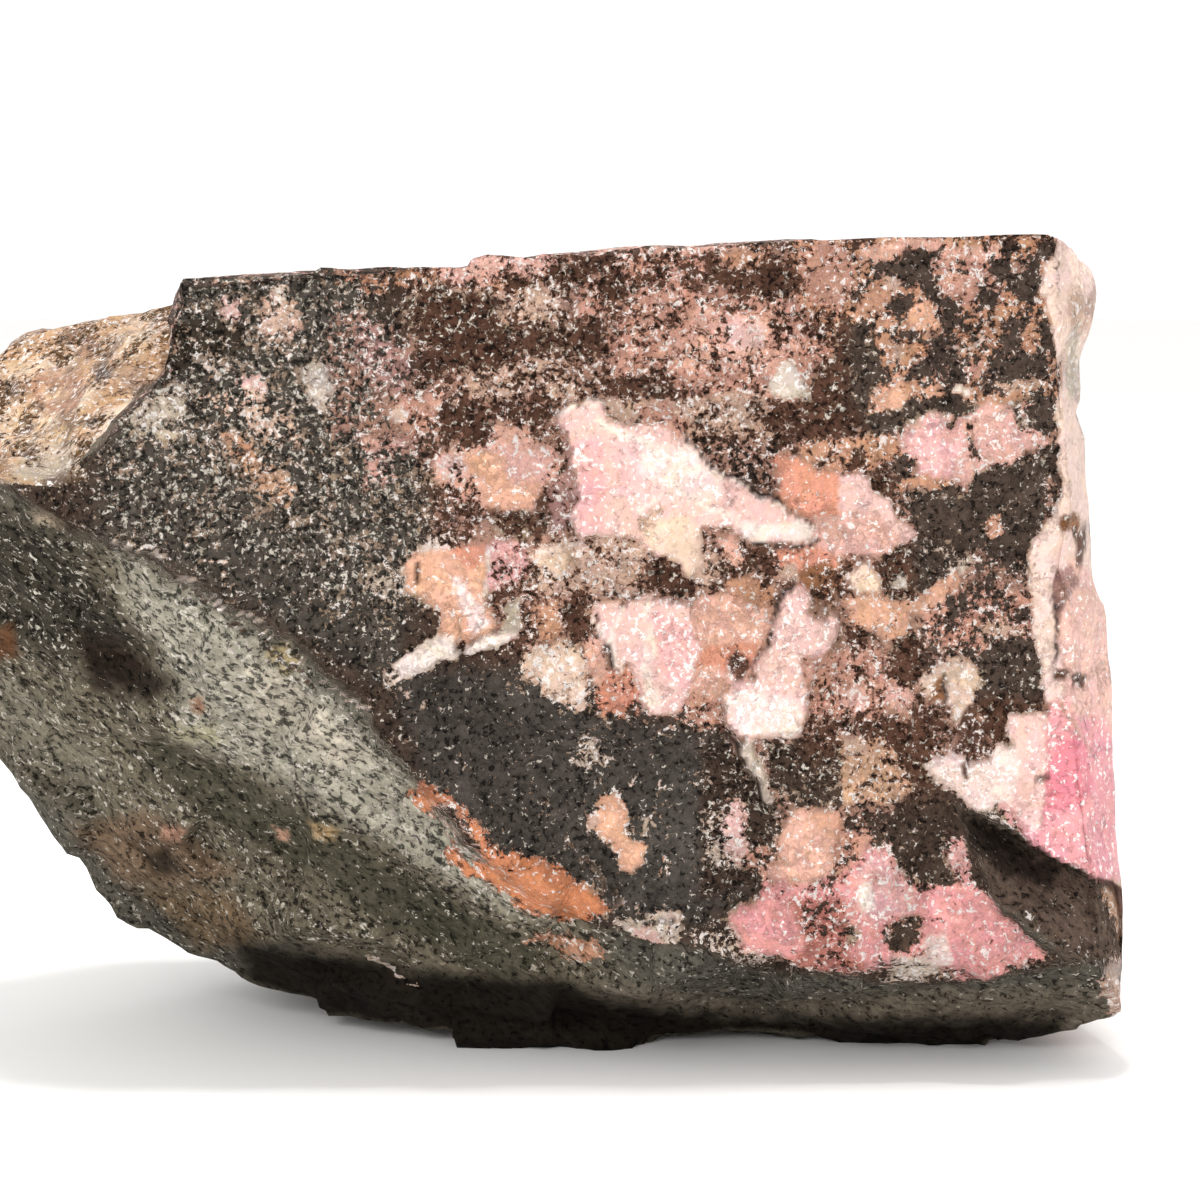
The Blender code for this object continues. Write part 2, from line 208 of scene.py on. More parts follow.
# Lumps and hollows as (x, y, z, reach, height outwards).
LUMPS = [
    (-39.0, -19.0, 43.8, 5.5, -2.2),
    (-47.0, -11.5, 37.0, 6.0, 1.3),
    (-37.0, -19.0, 39.0, 4.0, 1.4),
    (-30.0, -25.0, 44.5, 7.0, 1.0),
    (-52.0, -14.0, 67.0, 6.0, -1.4),
    (-43.0, -20.0, 71.0, 5.0, 1.2),
    (-56.0, -8.0, 62.0, 6.0, 1.2),
    (60.5, -20.0, 82.0, 5.0, 1.0),
    (58.5, -22.0, 76.0, 3.5, -1.6),
    (57.0, -25.0, 54.5, 3.6, -1.5),
    (65.0, -14.0, 15.5, 6.0, 0.5),
    (61.5, -20.0, 21.0, 4.0, 1.0),
    (24.0, -13.0, 4.0, 14.0, -2.2),
    (-22.0, -14.0, 15.0, 9.0, 1.2),
    (-8.0, -19.0, 20.0, 6.0, 0.8),
    (20.0, 31.0, 55.0, 13.0, -2.2),
    (-22.0, 30.0, 60.0, 10.0, 1.8),
    (40.0, 30.0, 28.0, 9.0, 1.6),
    (0.0, 10.0, 84.0, 12.0, -1.2),
    (36.0, 8.0, 87.0, 9.0, 0.9),
    (61.5, -16.0, 66.0, 8.0, -1.0),
    (64.0, 10.0, 34.0, 8.0, -1.8),
    (62.5, -23.0, 4.0, 5.5, -0.9),
    (-50.0, 24.0, 50.0, 9.0, 1.6),
    (-33.5, -28.0, 84.5, 7.0, -1.1),
    (55.5, -26.0, 88.0, 7.0, -0.6),
    (62.5, -15.0, 73.0, 5.0, -1.3),
    (-59.5, -12.0, 62.0, 6.0, -1.0),
    (-30.0, -5.0, 12.5, 7.0, 1.0),
    (66.0, -13.0, 7.0, 4.0, -1.4),
    (64.0, -16.0, 73.0, 6.0, -1.8),
    (64.0, -16.0, 55.0, 6.0, -1.5),
    (63.5, -16.0, 64.0, 5.0, -0.6),
    (64.0, -14.0, 41.0, 4.0, 0.7),
    (65.5, -14.0, 21.0, 5.0, -0.9),
    (-16.0, -27.0, 86.5, 8.0, -1.6),
    (-27.0, -28.0, 85.0, 6.0, -0.8),
    (-56.5, -8.0, 77.0, 7.0, -1.4),
    (-9.0, -10.0, 1.0, 5.0, 0.8),
]

# ------------------------------------------------------------ minerals of the front

# The front chart has u running right and v down. A point's place in it is where the
# line from the eye to the point crosses a plane this many units ahead of the eye, and
# at that distance the eye looks this far below its own level. The middle of the view is
# this many units right and down, and the camera stands at the eye.
EYE = np.array([9.85, -332.3, 86.0])
CHART_AHEAD = 3000.0
CHART_DROP = 342.0
CHART_MIDDLE = 600.0
EYE_TIP = math.atan(CHART_DROP / CHART_AHEAD)

# The chart's edges waver by random fields as (size in mm, reach in units, first seed).
WAVERS = [(3.0, 4.0, 80), (1.3, 3.0, 84), (0.7, 2.2, 88)]

# Colours of the ore and of single crystals in it, from pale to dark.
WHITE = "f8f0e9"
WHITE_PINK = "f8e4e0"
PALE_PINK = "f0cdc8"
PINK = "edc0b6"
COOL_PINK = "f2bfc0"
ROSE = "eeabac"
DEEP_ROSE = "ee92a6"
PEACH = "f0bfa3"
SALMON = "f0c2b1"
DEEP_SALMON = "e8a68d"
ORANGE = "dd9468"
SHELL_PINK = "f2cbc2"
PALE_SHELL = "f5dfd5"
CLEAR_ROSE = "eeaab4"
CREAM = "f1dac7"
SAND = "d9b597"
BEIGE = "d6baa8"
TAN = "d2a384"
BROWN_PINK = "d5a694"
DUSKY = "b3907f"
MAUVE = "b8938c"
BRICK = "c98479"
BROWN = "a0714b"
UMBER = "6b4a38"
SILVER = "dcd4c8"
QUARTZ = "cbc4b3"
GREY_GRAIN = "a99a86"

# The front's ore, each patch over the ones before it: (colour of the ore, level, frost,
# rise in mm, width of the edge in units, outline as u, v pairs going round it). Ore
# shows where the level plus a random grain of about -1 to 1 is above nothing, so at a
# level of 1.5 a patch is pure and at 0 it is half ore and half dark oxide.
ORE_PATCHES = [
    # broad zones
    (GREY_GRAIN, -0.35, 0.1, 0, 60, [(100, 250), (520, 240), (480, 420), (420, 560), (380, 640),
        (300, 560), (100, 480)]),
    (DUSKY, 0.10, 0.2, 0, 50, [(480, 235), (1070, 225), (1070, 700), (980, 760), (760, 900),
        (690, 740), (540, 650), (440, 600), (440, 440)]),
    (TAN, 0.10, 0.3, 0, 24, [(330, 262), (430, 256), (520, 262), (520, 290), (480, 296),
        (400, 290), (345, 296)]),
    (PINK, 0.55, 0.5, 0, 14, [(440, 262), (480, 258), (556, 250), (556, 268), (500, 276),
        (476, 290), (440, 280)]),
    (DUSKY, 0.05, 0.3, 0, 34, [(330, 300), (400, 330), (470, 372), (490, 440), (430, 465),
        (330, 430)]),
    (MAUVE, 0.30, 0.5, 0, 14, [(360, 320), (378, 318), (380, 340), (420, 360), (400, 390),
        (370, 380), (352, 356)]),
    (BROWN_PINK, 0.30, 0.4, 0, 16, [(400, 400), (440, 392), (452, 410), (440, 432), (408, 436)]),
    (BEIGE, 0.25, 0.4, 0, 16, [(495, 292), (560, 285), (560, 318), (530, 326), (500, 322)]),
    (BROWN_PINK, 0.45, 0.4, 0, 12, [(575, 282), (605, 284), (604, 312), (580, 316)]),
    (GREY_GRAIN, -0.75, 0.1, 0, 26, [(425, 290), (490, 292), (500, 330), (560, 330), (600, 330),
        (600, 352), (560, 356), (520, 350), (490, 372), (440, 366), (425, 330)]),
    (DUSKY, -0.70, 0.1, 0, 14, [(560, 258), (620, 252), (632, 300), (605, 300), (600, 282),
        (570, 282), (545, 276)]),
    (BEIGE, 0.15, 0.3, 0, 24, [(470, 372), (560, 360), (580, 396), (520, 404), (470, 400)]),
    (DUSKY, -0.60, 0.1, 0, 16, [(450, 400), (545, 400), (550, 430), (500, 440), (450, 470),
        (440, 430)]),
    (BROWN_PINK, 0.30, 0.5, 0, 34, [(620, 262), (700, 256), (735, 300), (800, 300), (830, 345),
        (800, 380), (790, 425), (700, 434), (640, 400), (610, 340), (640, 300)]),
    (BEIGE, 0.35, 0.5, 0, 18, [(672, 400), (760, 392), (790, 430), (740, 436), (690, 436)]),
    (SALMON, 0.40, 0.6, 0, 20, [(650, 345), (690, 335), (700, 300), (730, 318), (770, 322),
        (800, 345), (770, 366), (700, 372)]),
    (PALE_PINK, 0.90, 0.6, 0, 16, [(726, 322), (764, 324), (762, 346), (745, 352), (728, 340)]),
    (DUSKY, -0.55, 0.2, 0, 10, [(645, 376), (676, 384), (682, 396), (640, 400), (600, 394),
        (605, 380)]),
    (DUSKY, -0.90, 0.1, 0, 10, [(705, 250), (720, 262), (750, 270), (760, 276), (800, 264),
        (806, 292), (760, 300), (720, 282), (706, 268)]),
    (TAN, 0.45, 0.4, 0, 8, [(722, 252), (765, 248), (772, 262), (748, 268), (728, 262)]),
    (DUSKY, -0.80, 0.1, 0, 5, [(690, 278), (706, 280), (704, 290), (690, 288)]),
    (DUSKY, -0.60, 0.1, 0, 14, [(775, 402), (850, 394), (858, 430), (806, 440), (780, 428)]),
    # upper right
    (TAN, 0.20, 0.4, 0, 20, [(795, 236), (1060, 232), (1062, 400), (990, 400), (880, 425),
        (830, 345), (800, 300)]),
    (BROWN_PINK, 0.7, 0.4, 0.1, 10, [(800, 250), (838, 243), (856, 262), (850, 290), (838, 318),
        (812, 300), (800, 280)]),
    (SALMON, 0.9, 0.4, 0, 6, [(860, 244), (920, 238), (958, 250), (1000, 244), (1002, 258),
        (960, 262), (905, 258), (862, 262)]),
    (DUSKY, -1.0, 0.1, -0.1, 6, [(878, 262), (912, 250), (940, 252), (930, 276), (922, 288),
        (900, 284), (880, 278)]),
    (BEIGE, 0.8, 0.4, 0, 5, [(884, 270), (902, 278), (896, 292), (884, 286)]),
    (BROWN_PINK, 0.7, 0.4, 0, 9, [(930, 262), (990, 262), (1000, 280), (1000, 300), (965, 304),
        (935, 284)]),
    (DUSKY, -1.0, 0.1, -0.1, 5, [(988, 264), (1000, 258), (1040, 262), (1044, 280), (1034, 290),
        (1030, 300), (1020, 296), (1008, 284), (992, 276)]),
    (DUSKY, 0.5, 0.1, 0, 4, [(1012, 262), (1028, 262), (1026, 274), (1014, 274)]),
    (DUSKY, -1.0, 0.1, 0, 4, [(1002, 238), (1020, 240), (1018, 250), (1004, 250)]),
    (DUSKY, -1.0, 0.1, 0, 3, [(1040, 248), (1052, 240), (1062, 256), (1052, 264), (1042, 256)]),
    (TAN, 0.9, 0.4, 0, 6, [(866, 292), (884, 284), (896, 300), (884, 312), (866, 308)]),
    (DUSKY, -1.1, 0.1, 0, 4, [(888, 304), (898, 298), (912, 304), (904, 314), (892, 312)]),
    (PEACH, 1.2, 0.4, 0.1, 4, [(908, 322), (914, 306), (926, 296), (940, 310), (940, 328),
        (926, 336), (912, 330)]),
    (DUSKY, -1.1, 0.1, -0.1, 5, [(920, 286), (934, 290), (952, 302), (958, 320), (950, 332),
        (940, 328), (942, 310), (928, 296)]),
    (DUSKY, -0.8, 0.1, 0, 8, [(925, 332), (950, 334), (955, 352), (968, 372), (960, 388),
        (940, 388), (930, 374), (910, 374), (912, 360), (930, 350)]),
    (DUSKY, -0.9, 0.1, 0, 6, [(1006, 322), (1026, 322), (1028, 348), (1010, 352)]),
    (TAN, 0.9, 0.3, 0, 4, [(1026, 332), (1038, 328), (1040, 352), (1028, 352)]),
    (DUSKY, -1.0, 0.1, 0, 4, [(1040, 316), (1052, 330), (1060, 350), (1044, 352)]),
    (DUSKY, -0.9, 0.1, 0, 5, [(976, 286), (1000, 290), (994, 306), (980, 300)]),
    (DUSKY, -0.8, 0.1, 0, 8, [(1012, 352), (1046, 356), (1044, 376), (1010, 392), (980, 388),
        (975, 372), (1000, 370)]),
    (BROWN_PINK, 0.7, 0.4, 0, 5, [(965, 362), (982, 360), (986, 374), (970, 376)]),
    (PEACH, 1.1, 0.4, 0.2, 5, [(864, 400), (876, 382), (888, 384), (898, 372), (906, 390),
        (912, 402), (898, 410), (880, 420), (868, 414)]),
    (PEACH, 1.1, 0.3, 0.1, 4, [(924, 378), (934, 376), (942, 392), (930, 402), (922, 394)]),
    (BEIGE, 0.8, 0.4, 0, 4, [(890, 342), (900, 344), (902, 362), (892, 364)]),
    (GREY_GRAIN, -0.75, 0.1, 0, 12, [(838, 322), (868, 330), (880, 370), (856, 420), (800, 430),
        (806, 400), (832, 360)]),
    (GREY_GRAIN, -0.9, 0.2, 0, 8, [(858, 416), (890, 412), (924, 402), (960, 398), (978, 402),
        (976, 418), (930, 412), (906, 424), (890, 432), (862, 438)]),
    (BEIGE, 0.5, 0.4, 0, 5, [(1000, 386), (1040, 378), (1050, 386), (1010, 394)]),
    (GREY_GRAIN, -0.8, 0.1, 0, 6, [(1006, 404), (1030, 400), (1062, 396), (1058, 424),
        (1044, 436), (1010, 424)]),
    (BROWN_PINK, 0.6, 0.3, 0, 4, [(1022, 404), (1034, 404), (1032, 418), (1022, 416)]),
    # pink at the right
    (PINK, 1.5, 0.8, 0.3, 6, [(884, 446), (905, 432), (925, 414), (948, 412), (962, 418),
        (985, 400), (1006, 404), (1014, 428), (1034, 426), (1050, 444), (1022, 448), (1012, 462),
        (985, 464), (974, 478), (970, 492), (954, 484), (940, 476), (922, 474), (905, 462)]),
    (COOL_PINK, 2.0, 0.7, 0, 10, [(905, 440), (930, 420), (958, 422), (960, 440), (950, 476),
        (924, 472), (908, 456)]),
    (DUSKY, -1.0, 0.1, 0, 3, [(946, 418), (954, 416), (952, 428), (944, 430)]),
    (DUSKY, -1.2, 0.1, 0, 4, [(964, 438), (972, 440), (982, 456), (972, 458)]),
    (DUSKY, -0.8, 0.1, 0, 3, [(966, 424), (976, 422), (974, 430), (966, 430)]),
    (TAN, 0.45, 0.3, 0, 7, [(886, 478), (910, 474), (950, 480), (948, 490), (914, 488),
        (890, 488)]),
    (GREY_GRAIN, -0.85, 0.2, -0.4, 8, [(910, 492), (968, 494), (978, 470), (1012, 464),
        (1056, 448), (1058, 470), (1044, 480), (1042, 540), (1010, 560), (980, 545), (940, 560),
        (925, 540)]),
    (SILVER, 0.15, 0.6, 0, 8, [(900, 548), (940, 544), (975, 556), (960, 572), (926, 566)]),
    (PEACH, 0.9, 0.4, 0.1, 5, [(984, 520), (1002, 512), (1006, 532), (988, 540)]),
    (BROWN_PINK, 0.0, 0.4, 0, 16, [(920, 600), (1000, 590), (1038, 600), (1030, 640), (985, 650),
        (925, 640)]),
    (BEIGE, 0.4, 0.5, 0, 8, [(980, 624), (1010, 620), (1024, 636), (985, 646)]),
    (GREY_GRAIN, -1.0, 0.1, -0.2, 5, [(985, 650), (1010, 640), (1034, 640), (1046, 678),
        (1036, 700), (1032, 710), (1018, 712), (1012, 730), (1006, 748), (1000, 742), (996, 720),
        (980, 704), (978, 668)]),
    # crystals of the centre
    (DUSKY, 0.10, 0.5, 0, 20, [(440, 515), (500, 512), (560, 520), (600, 600), (600, 650),
        (500, 650), (480, 560)]),
    (GREY_GRAIN, -0.55, 0.3, 0, 10, [(495, 515), (550, 512), (550, 530), (520, 540), (500, 530)]),
    (SALMON, 0.95, 0.6, 0.2, 12, [(440, 458), (456, 448), (484, 446), (492, 430), (500, 424),
        (522, 428), (532, 442), (556, 450), (560, 470), (548, 480), (545, 500), (520, 511),
        (485, 515), (475, 500), (455, 498), (438, 476)]),
    (PINK, 1.5, 0.8, 0.2, 7, [(498, 446), (520, 440), (548, 452), (558, 464), (546, 480),
        (524, 480), (510, 494), (498, 486)]),
    (PEACH, 2.0, 0.3, 0, 8, [(466, 456), (484, 452), (500, 454), (504, 480), (520, 488),
        (542, 486), (542, 500), (524, 510), (486, 512), (482, 494), (486, 478), (470, 474)]),
    (PALE_PINK, 0.7, 1.0, 0, 6, [(444, 456), (464, 454), (468, 474), (450, 478), (442, 470)]),
    (MAUVE, 0.75, 0.8, 0.2, 6, [(560, 420), (574, 440), (580, 480), (576, 510), (562, 532),
        (546, 532), (552, 486), (566, 460)]),
    (UMBER, 0.6, 0.1, -0.4, 3, [(538, 496), (546, 486), (554, 498), (548, 510), (540, 508)]),
    (TAN, 0.50, 0.5, 0, 6, [(800, 440), (850, 436), (890, 440), (900, 462), (870, 468),
        (840, 468), (806, 458)]),
    (DUSKY, -0.55, 0.2, 0, 5, [(880, 462), (914, 458), (920, 468), (896, 476), (878, 474)]),
    (GREY_GRAIN, -1.0, 0.1, -0.1, 4, [(864, 484), (874, 474), (884, 476), (894, 494), (870, 494)]),
    (GREY_GRAIN, -1.1, 0.1, 0, 3, [(852, 456), (860, 448), (862, 462), (854, 466)]),
    (DEEP_SALMON, 2.0, 0.2, 0.3, 5, [(776, 458), (786, 450), (800, 456), (820, 470), (842, 470),
        (842, 498), (838, 515), (806, 518), (790, 506), (780, 494)]),
    (PALE_PINK, 2.2, 0.4, 0.2, 6, [(842, 474), (866, 474), (872, 492), (890, 500), (900, 522),
        (916, 530), (905, 546), (870, 520), (840, 520), (840, 498)]),
    (PINK, 1.9, 0.7, 0.1, 8, [(812, 520), (840, 514), (880, 514), (900, 540), (880, 552),
        (840, 556), (818, 548)]),
    (DEEP_SALMON, 1.0, 0.3, 0, 6, [(775, 546), (822, 546), (842, 562), (840, 578), (800, 590),
        (790, 570), (770, 562)]),
    (BROWN, 0.35, 0.3, 0, 12, [(798, 572), (820, 562), (846, 572), (838, 596), (812, 600)]),
    (SALMON, 1.1, 0.5, 0, 6, [(716, 540), (736, 536), (742, 556), (736, 570), (720, 566)]),
    (BEIGE, 0.6, 0.6, 0, 4, [(692, 556), (704, 550), (716, 560), (718, 584), (700, 592),
        (694, 576)]),
    (DUSKY, -0.35, 0.5, -0.1, 6, [(742, 546), (766, 544), (772, 570), (760, 574), (742, 566)]),
    (BEIGE, 0.60, 0.8, -0.2, 12, [(545, 546), (580, 536), (620, 534), (642, 546), (650, 562),
        (640, 590), (625, 596), (590, 592), (545, 590), (532, 566)]),
    (DUSKY, -0.70, 0.4, -0.2, 6, [(645, 568), (668, 566), (690, 576), (690, 592), (664, 590),
        (646, 580)]),
    (COOL_PINK, 0.75, 0.7, 0, 5, [(488, 546), (512, 540), (526, 548), (526, 572), (512, 584),
        (488, 588)]),
    (CREAM, 0.60, 0.8, 0, 6, [(530, 556), (556, 548), (566, 560), (556, 580), (532, 580)]),
    (QUARTZ, 1.4, 0.6, 0.1, 4, [(504, 602), (520, 600), (522, 624), (516, 638), (506, 632)]),
    (TAN, 0.75, 0.4, 0, 5, [(534, 604), (556, 602), (558, 632), (540, 640), (532, 622)]),
    (GREY_GRAIN, -0.9, 0.1, 0, 5, [(562, 604), (584, 600), (592, 618), (590, 640), (572, 636)]),
    (PEACH, 2.0, 0.3, 0.4, 5, [(404, 560), (422, 550), (444, 546), (484, 546), (486, 562),
        (482, 590), (488, 612), (494, 630), (486, 638), (462, 643), (440, 632), (436, 612),
        (420, 598), (406, 588)]),
    (DEEP_SALMON, 1.2, 0.3, 0, 5, [(450, 546), (486, 542), (486, 562), (470, 566), (456, 558)]),
    (WHITE_PINK, 2.2, 0.9, 0, 5, [(452, 574), (466, 582), (474, 600), (490, 626), (476, 634),
        (462, 606)]),
    (WHITE, 0.45, 0.9, 0.1, 5, [(420, 552), (436, 536), (452, 534), (450, 544), (436, 552)]),
    (SILVER, 0.05, 0.9, 0, 8, [(384, 572), (400, 562), (406, 590), (392, 604), (380, 592)]),
    (SALMON, 1.8, 0.6, 0, 10, [(692, 604), (730, 594), (764, 600), (772, 612), (766, 640),
        (756, 662), (740, 690), (722, 694), (700, 722), (690, 700)]),
    (TAN, 0.85, 0.4, 0, 5, [(722, 580), (760, 576), (780, 590), (770, 606), (735, 602)]),
    (DEEP_SALMON, 1.2, 0.3, 0, 6, [(700, 646), (740, 642), (760, 646), (750, 668), (728, 670),
        (700, 664)]),
    (UMBER, 0.3, 0.2, -0.3, 3, [(728, 656), (740, 652), (748, 668), (742, 680), (730, 676)]),
    (SALMON, 1.5, 0.4, 0, 5, [(584, 640), (600, 644), (608, 668), (606, 690), (592, 684),
        (584, 664)]),
    (DEEP_SALMON, 0.55, 0.4, 0, 5, [(606, 672), (640, 668), (642, 690), (640, 716), (604, 714),
        (596, 694)]),
    (BROWN_PINK, 0.40, 0.5, 0, 6, [(680, 700), (720, 700), (722, 728), (700, 736), (676, 730)]),
    (PALE_PINK, 2.4, 0.7, 0.5, 4, [(597, 602), (625, 606), (650, 600), (686, 598), (694, 622),
        (700, 645), (698, 665), (690, 692), (682, 708), (664, 716), (650, 718), (642, 700),
        (638, 676), (630, 664), (616, 668), (606, 640)]),
    (COOL_PINK, 2.4, 0.9, 0, 7, [(656, 614), (690, 620), (698, 645), (690, 690), (668, 680),
        (656, 650)]),
    (PEACH, 1.3, 0.4, 0.2, 5, [(844, 602), (870, 596), (884, 600), (905, 600), (930, 584),
        (954, 568), (956, 592), (934, 606), (906, 618), (902, 642), (884, 640), (866, 628),
        (850, 620)]),
    (GREY_GRAIN, -0.8, 0.8, -0.4, 5, [(884, 556), (905, 545), (942, 556), (938, 580), (910, 600),
        (888, 598)]),
    (SILVER, 1.2, 0.7, 0.3, 3, [(892, 576), (904, 570), (908, 586), (896, 590)]),
    (CREAM, 2.4, 0.3, 0.4, 3, [(848, 574), (866, 563), (878, 580), (876, 597), (852, 590)]),
    (BEIGE, 1.2, 0.6, 0.2, 3, [(779, 566), (794, 564), (800, 580), (790, 584), (780, 576)]),
    (PALE_PINK, 2.6, 0.5, 0.9, 3, [(560, 414), (576, 402), (600, 400), (610, 420), (640, 424),
        (672, 418), (690, 440), (704, 464), (722, 473), (742, 480), (760, 495), (782, 502),
        (800, 518), (817, 530), (808, 545), (782, 543), (752, 540), (735, 530), (702, 528),
        (700, 552), (690, 576), (676, 560), (656, 556), (640, 541), (618, 536), (578, 536),
        (570, 520), (578, 500), (572, 470), (572, 440)]),
    (COOL_PINK, 2.4, 0.5, 0, 12, [(574, 440), (600, 446), (606, 490), (600, 530), (580, 530),
        (580, 490)]),
    (BEIGE, 1.1, 0.7, 0, 7, [(602, 398), (640, 398), (660, 404), (664, 420), (640, 424),
        (610, 418)]),
    (BROWN_PINK, 0.45, 0.8, 0, 5, [(640, 404), (668, 406), (690, 428), (684, 440), (664, 430),
        (644, 424)]),
    (WHITE_PINK, 2.6, 0.8, 0, 8, [(640, 440), (690, 450), (700, 470), (722, 480), (720, 500),
        (690, 505), (640, 470)]),
    (PALE_PINK, 2.6, 0.2, -0.2, 3, [(724, 484), (742, 482), (782, 506), (786, 520), (744, 516),
        (726, 502)]),
    (WHITE, 2.6, 0.3, 0.2, 4, [(740, 524), (782, 522), (800, 522), (814, 531), (806, 542),
        (776, 540), (748, 538)]),
    (CREAM, 2.6, 0.2, -0.3, 4, [(646, 532), (660, 520), (690, 518), (704, 534), (698, 560),
        (690, 576), (676, 560), (656, 552)]),
    (BEIGE, 1.6, 0.8, -0.2, 3, [(638, 520), (650, 506), (664, 508), (656, 524), (644, 532)]),
    (PALE_PINK, 2.5, 0.7, 1.1, 3, [(791, 584), (806, 592), (818, 604), (838, 618), (832, 648),
        (818, 668), (806, 690), (803, 722), (800, 734), (776, 736), (745, 741), (734, 734),
        (724, 716), (722, 696), (736, 685), (754, 680), (764, 650), (772, 622), (780, 600)]),
    (DUSKY, 0.5, 0.5, -0.2, 3, [(808, 602), (820, 604), (832, 614), (824, 624), (812, 616)]),
    (WHITE_PINK, 2.5, 1.0, 0, 7, [(724, 700), (760, 690), (803, 716), (800, 736), (740, 738)]),
    (BROWN_PINK, 0.6, 0.6, 0, 5, [(804, 664), (830, 660), (836, 676), (812, 684)]),
    (SILVER, 1.6, 0.9, 0.6, 3, [(738, 744), (750, 742), (762, 760), (766, 782), (774, 802),
        (764, 800), (752, 776), (742, 760)]),
    (WHITE, 2.5, 0.7, 0.8, 3, [(395, 672), (402, 661), (425, 647), (440, 636), (452, 638),
        (460, 650), (478, 644), (502, 636), (510, 640), (490, 652), (456, 655), (436, 660),
        (424, 674), (410, 680)]),
    (CREAM, 1.1, 1.0, 0.5, 7, [(520, 660), (536, 648), (560, 640), (576, 648), (584, 666),
        (586, 690), (588, 706), (578, 716), (560, 712), (544, 700), (536, 684), (516, 672)]),
    (SILVER, 0.2, 0.9, 0, 4, [(383, 672), (394, 672), (414, 698), (442, 712), (438, 720),
        (404, 706)]),
    # dark slate below the centre, with its small crystals
    (GREY_GRAIN, -0.95, 0.1, 0, 20, [(400, 684), (440, 668), (500, 668), (545, 702), (600, 722),
        (720, 738), (772, 800), (764, 880), (700, 925), (610, 918), (520, 880), (470, 835),
        (430, 790), (392, 750)]),
    (SILVER, -0.2, 0.6, 0, 8, [(578, 738), (620, 735), (618, 760), (575, 770)]),
    (SILVER, -0.1, 0.6, 0, 5, [(686, 776), (712, 774), (712, 792), (690, 796)]),
    (PEACH, 2.0, 0.1, 0.2, 4, [(603, 800), (616, 794), (626, 812), (626, 826), (632, 838),
        (641, 842), (640, 860), (630, 873), (618, 868), (612, 846), (604, 836), (598, 820)]),
    (BEIGE, 0.7, 0.5, 0, 4, [(586, 812), (598, 806), (600, 828), (590, 830)]),
    (GREY_GRAIN, -0.6, 0.1, 0, 3, [(602, 836), (614, 838), (612, 844), (600, 842)]),
    (QUARTZ, 0.6, 0.3, 0, 3, [(642, 816), (654, 812), (660, 824), (652, 832), (644, 828)]),
    (SAND, 0.5, 0.3, 0, 3, [(658, 852), (664, 850), (668, 868), (674, 878), (660, 876)]),
    (PALE_PINK, 0.9, 0.8, 0.1, 6, [(722, 804), (736, 798), (750, 808), (746, 838), (752, 860),
        (736, 868), (722, 856)]),
    (BROWN_PINK, 0.3, 0.6, 0, 6, [(744, 848), (770, 846), (776, 866), (766, 880), (748, 872)]),
    (SILVER, 0.1, 0.8, 0, 6, [(700, 804), (720, 800), (722, 856), (740, 870), (724, 874),
        (704, 864)]),
    (SILVER, 0.35, 0.8, 0, 8, [(618, 922), (660, 920), (680, 930), (676, 950), (648, 944),
        (626, 936)]),
    (PALE_PINK, 1.2, 0.8, 0.1, 4, [(634, 928), (650, 926), (662, 944), (648, 944)]),
    (CREAM, 2.0, 0.3, 0.2, 2, [(668, 914), (676, 911), (680, 922), (672, 926)]),
    (SILVER, 0.0, 1.0, 0, 12, [(680, 930), (740, 926), (770, 960), (748, 976), (690, 950)]),
    # lower right
    (BROWN_PINK, 0.40, 0.7, 0, 14, [(806, 660), (850, 652), (884, 650), (900, 690), (880, 720),
        (810, 716)]),
    (PINK, 1.0, 0.9, 0.1, 6, [(842, 690), (860, 684), (872, 704), (856, 716), (844, 706)]),
    (PINK, 0.8, 0.9, 0, 6, [(884, 690), (906, 684), (916, 700), (900, 712), (886, 706)]),
    (GREY_GRAIN, -1.0, 0.1, -0.1, 5, [(902, 640), (920, 640), (924, 668), (910, 688), (890, 672),
        (886, 656)]),
    (DUSKY, -0.55, 0.3, 0, 10, [(800, 722), (850, 722), (900, 724), (950, 716), (930, 740),
        (900, 746), (850, 740), (806, 742)]),
    (SAND, 0.45, 0.5, 0, 12, [(836, 742), (890, 742), (912, 780), (896, 800), (840, 800)]),
    (BEIGE, 1.0, 0.6, 0, 5, [(842, 742), (862, 740), (868, 754), (848, 758)]),
    (GREY_GRAIN, -0.95, 0.1, -0.1, 6, [(768, 748), (800, 742), (806, 760), (800, 790), (780, 786)]),
    (GREY_GRAIN, -0.45, 0.5, 0, 10, [(800, 742), (836, 746), (840, 800), (796, 806), (780, 796)]),
    (GREY_GRAIN, -0.80, 0.3, -0.1, 8, [(896, 740), (930, 740), (924, 764), (934, 786), (958, 792),
        (960, 815), (930, 830), (905, 812), (912, 780)]),
    (SALMON, 2.1, 0.5, 0.4, 8, [(778, 842), (784, 820), (798, 808), (832, 812), (840, 834),
        (838, 862), (828, 880), (800, 880), (770, 878), (780, 860)]),
    (PEACH, 1.2, 0.4, 0, 6, [(806, 812), (836, 812), (842, 836), (822, 838)]),
    (BROWN_PINK, 0.3, 0.5, 0, 8, [(838, 830), (868, 828), (880, 850), (862, 872), (838, 874)]),
    (ROSE, 1.0, 0.7, 0.3, 10, [(730, 918), (760, 900), (766, 884), (840, 884), (870, 850),
        (890, 846), (902, 872), (922, 890), (948, 884), (970, 876), (1002, 906), (1036, 945),
        (1044, 956), (1000, 974), (970, 981), (900, 962), (850, 972), (800, 962), (745, 950)]),
    (ROSE, 2.0, 0.4, 0.4, 4, [(726, 920), (742, 908), (762, 904), (782, 898), (796, 920),
        (806, 946), (790, 954), (768, 956), (744, 942)]),
    (BRICK, 0.30, 0.8, 0, 9, [(790, 900), (820, 902), (846, 900), (850, 956), (830, 966),
        (808, 950), (798, 920)]),
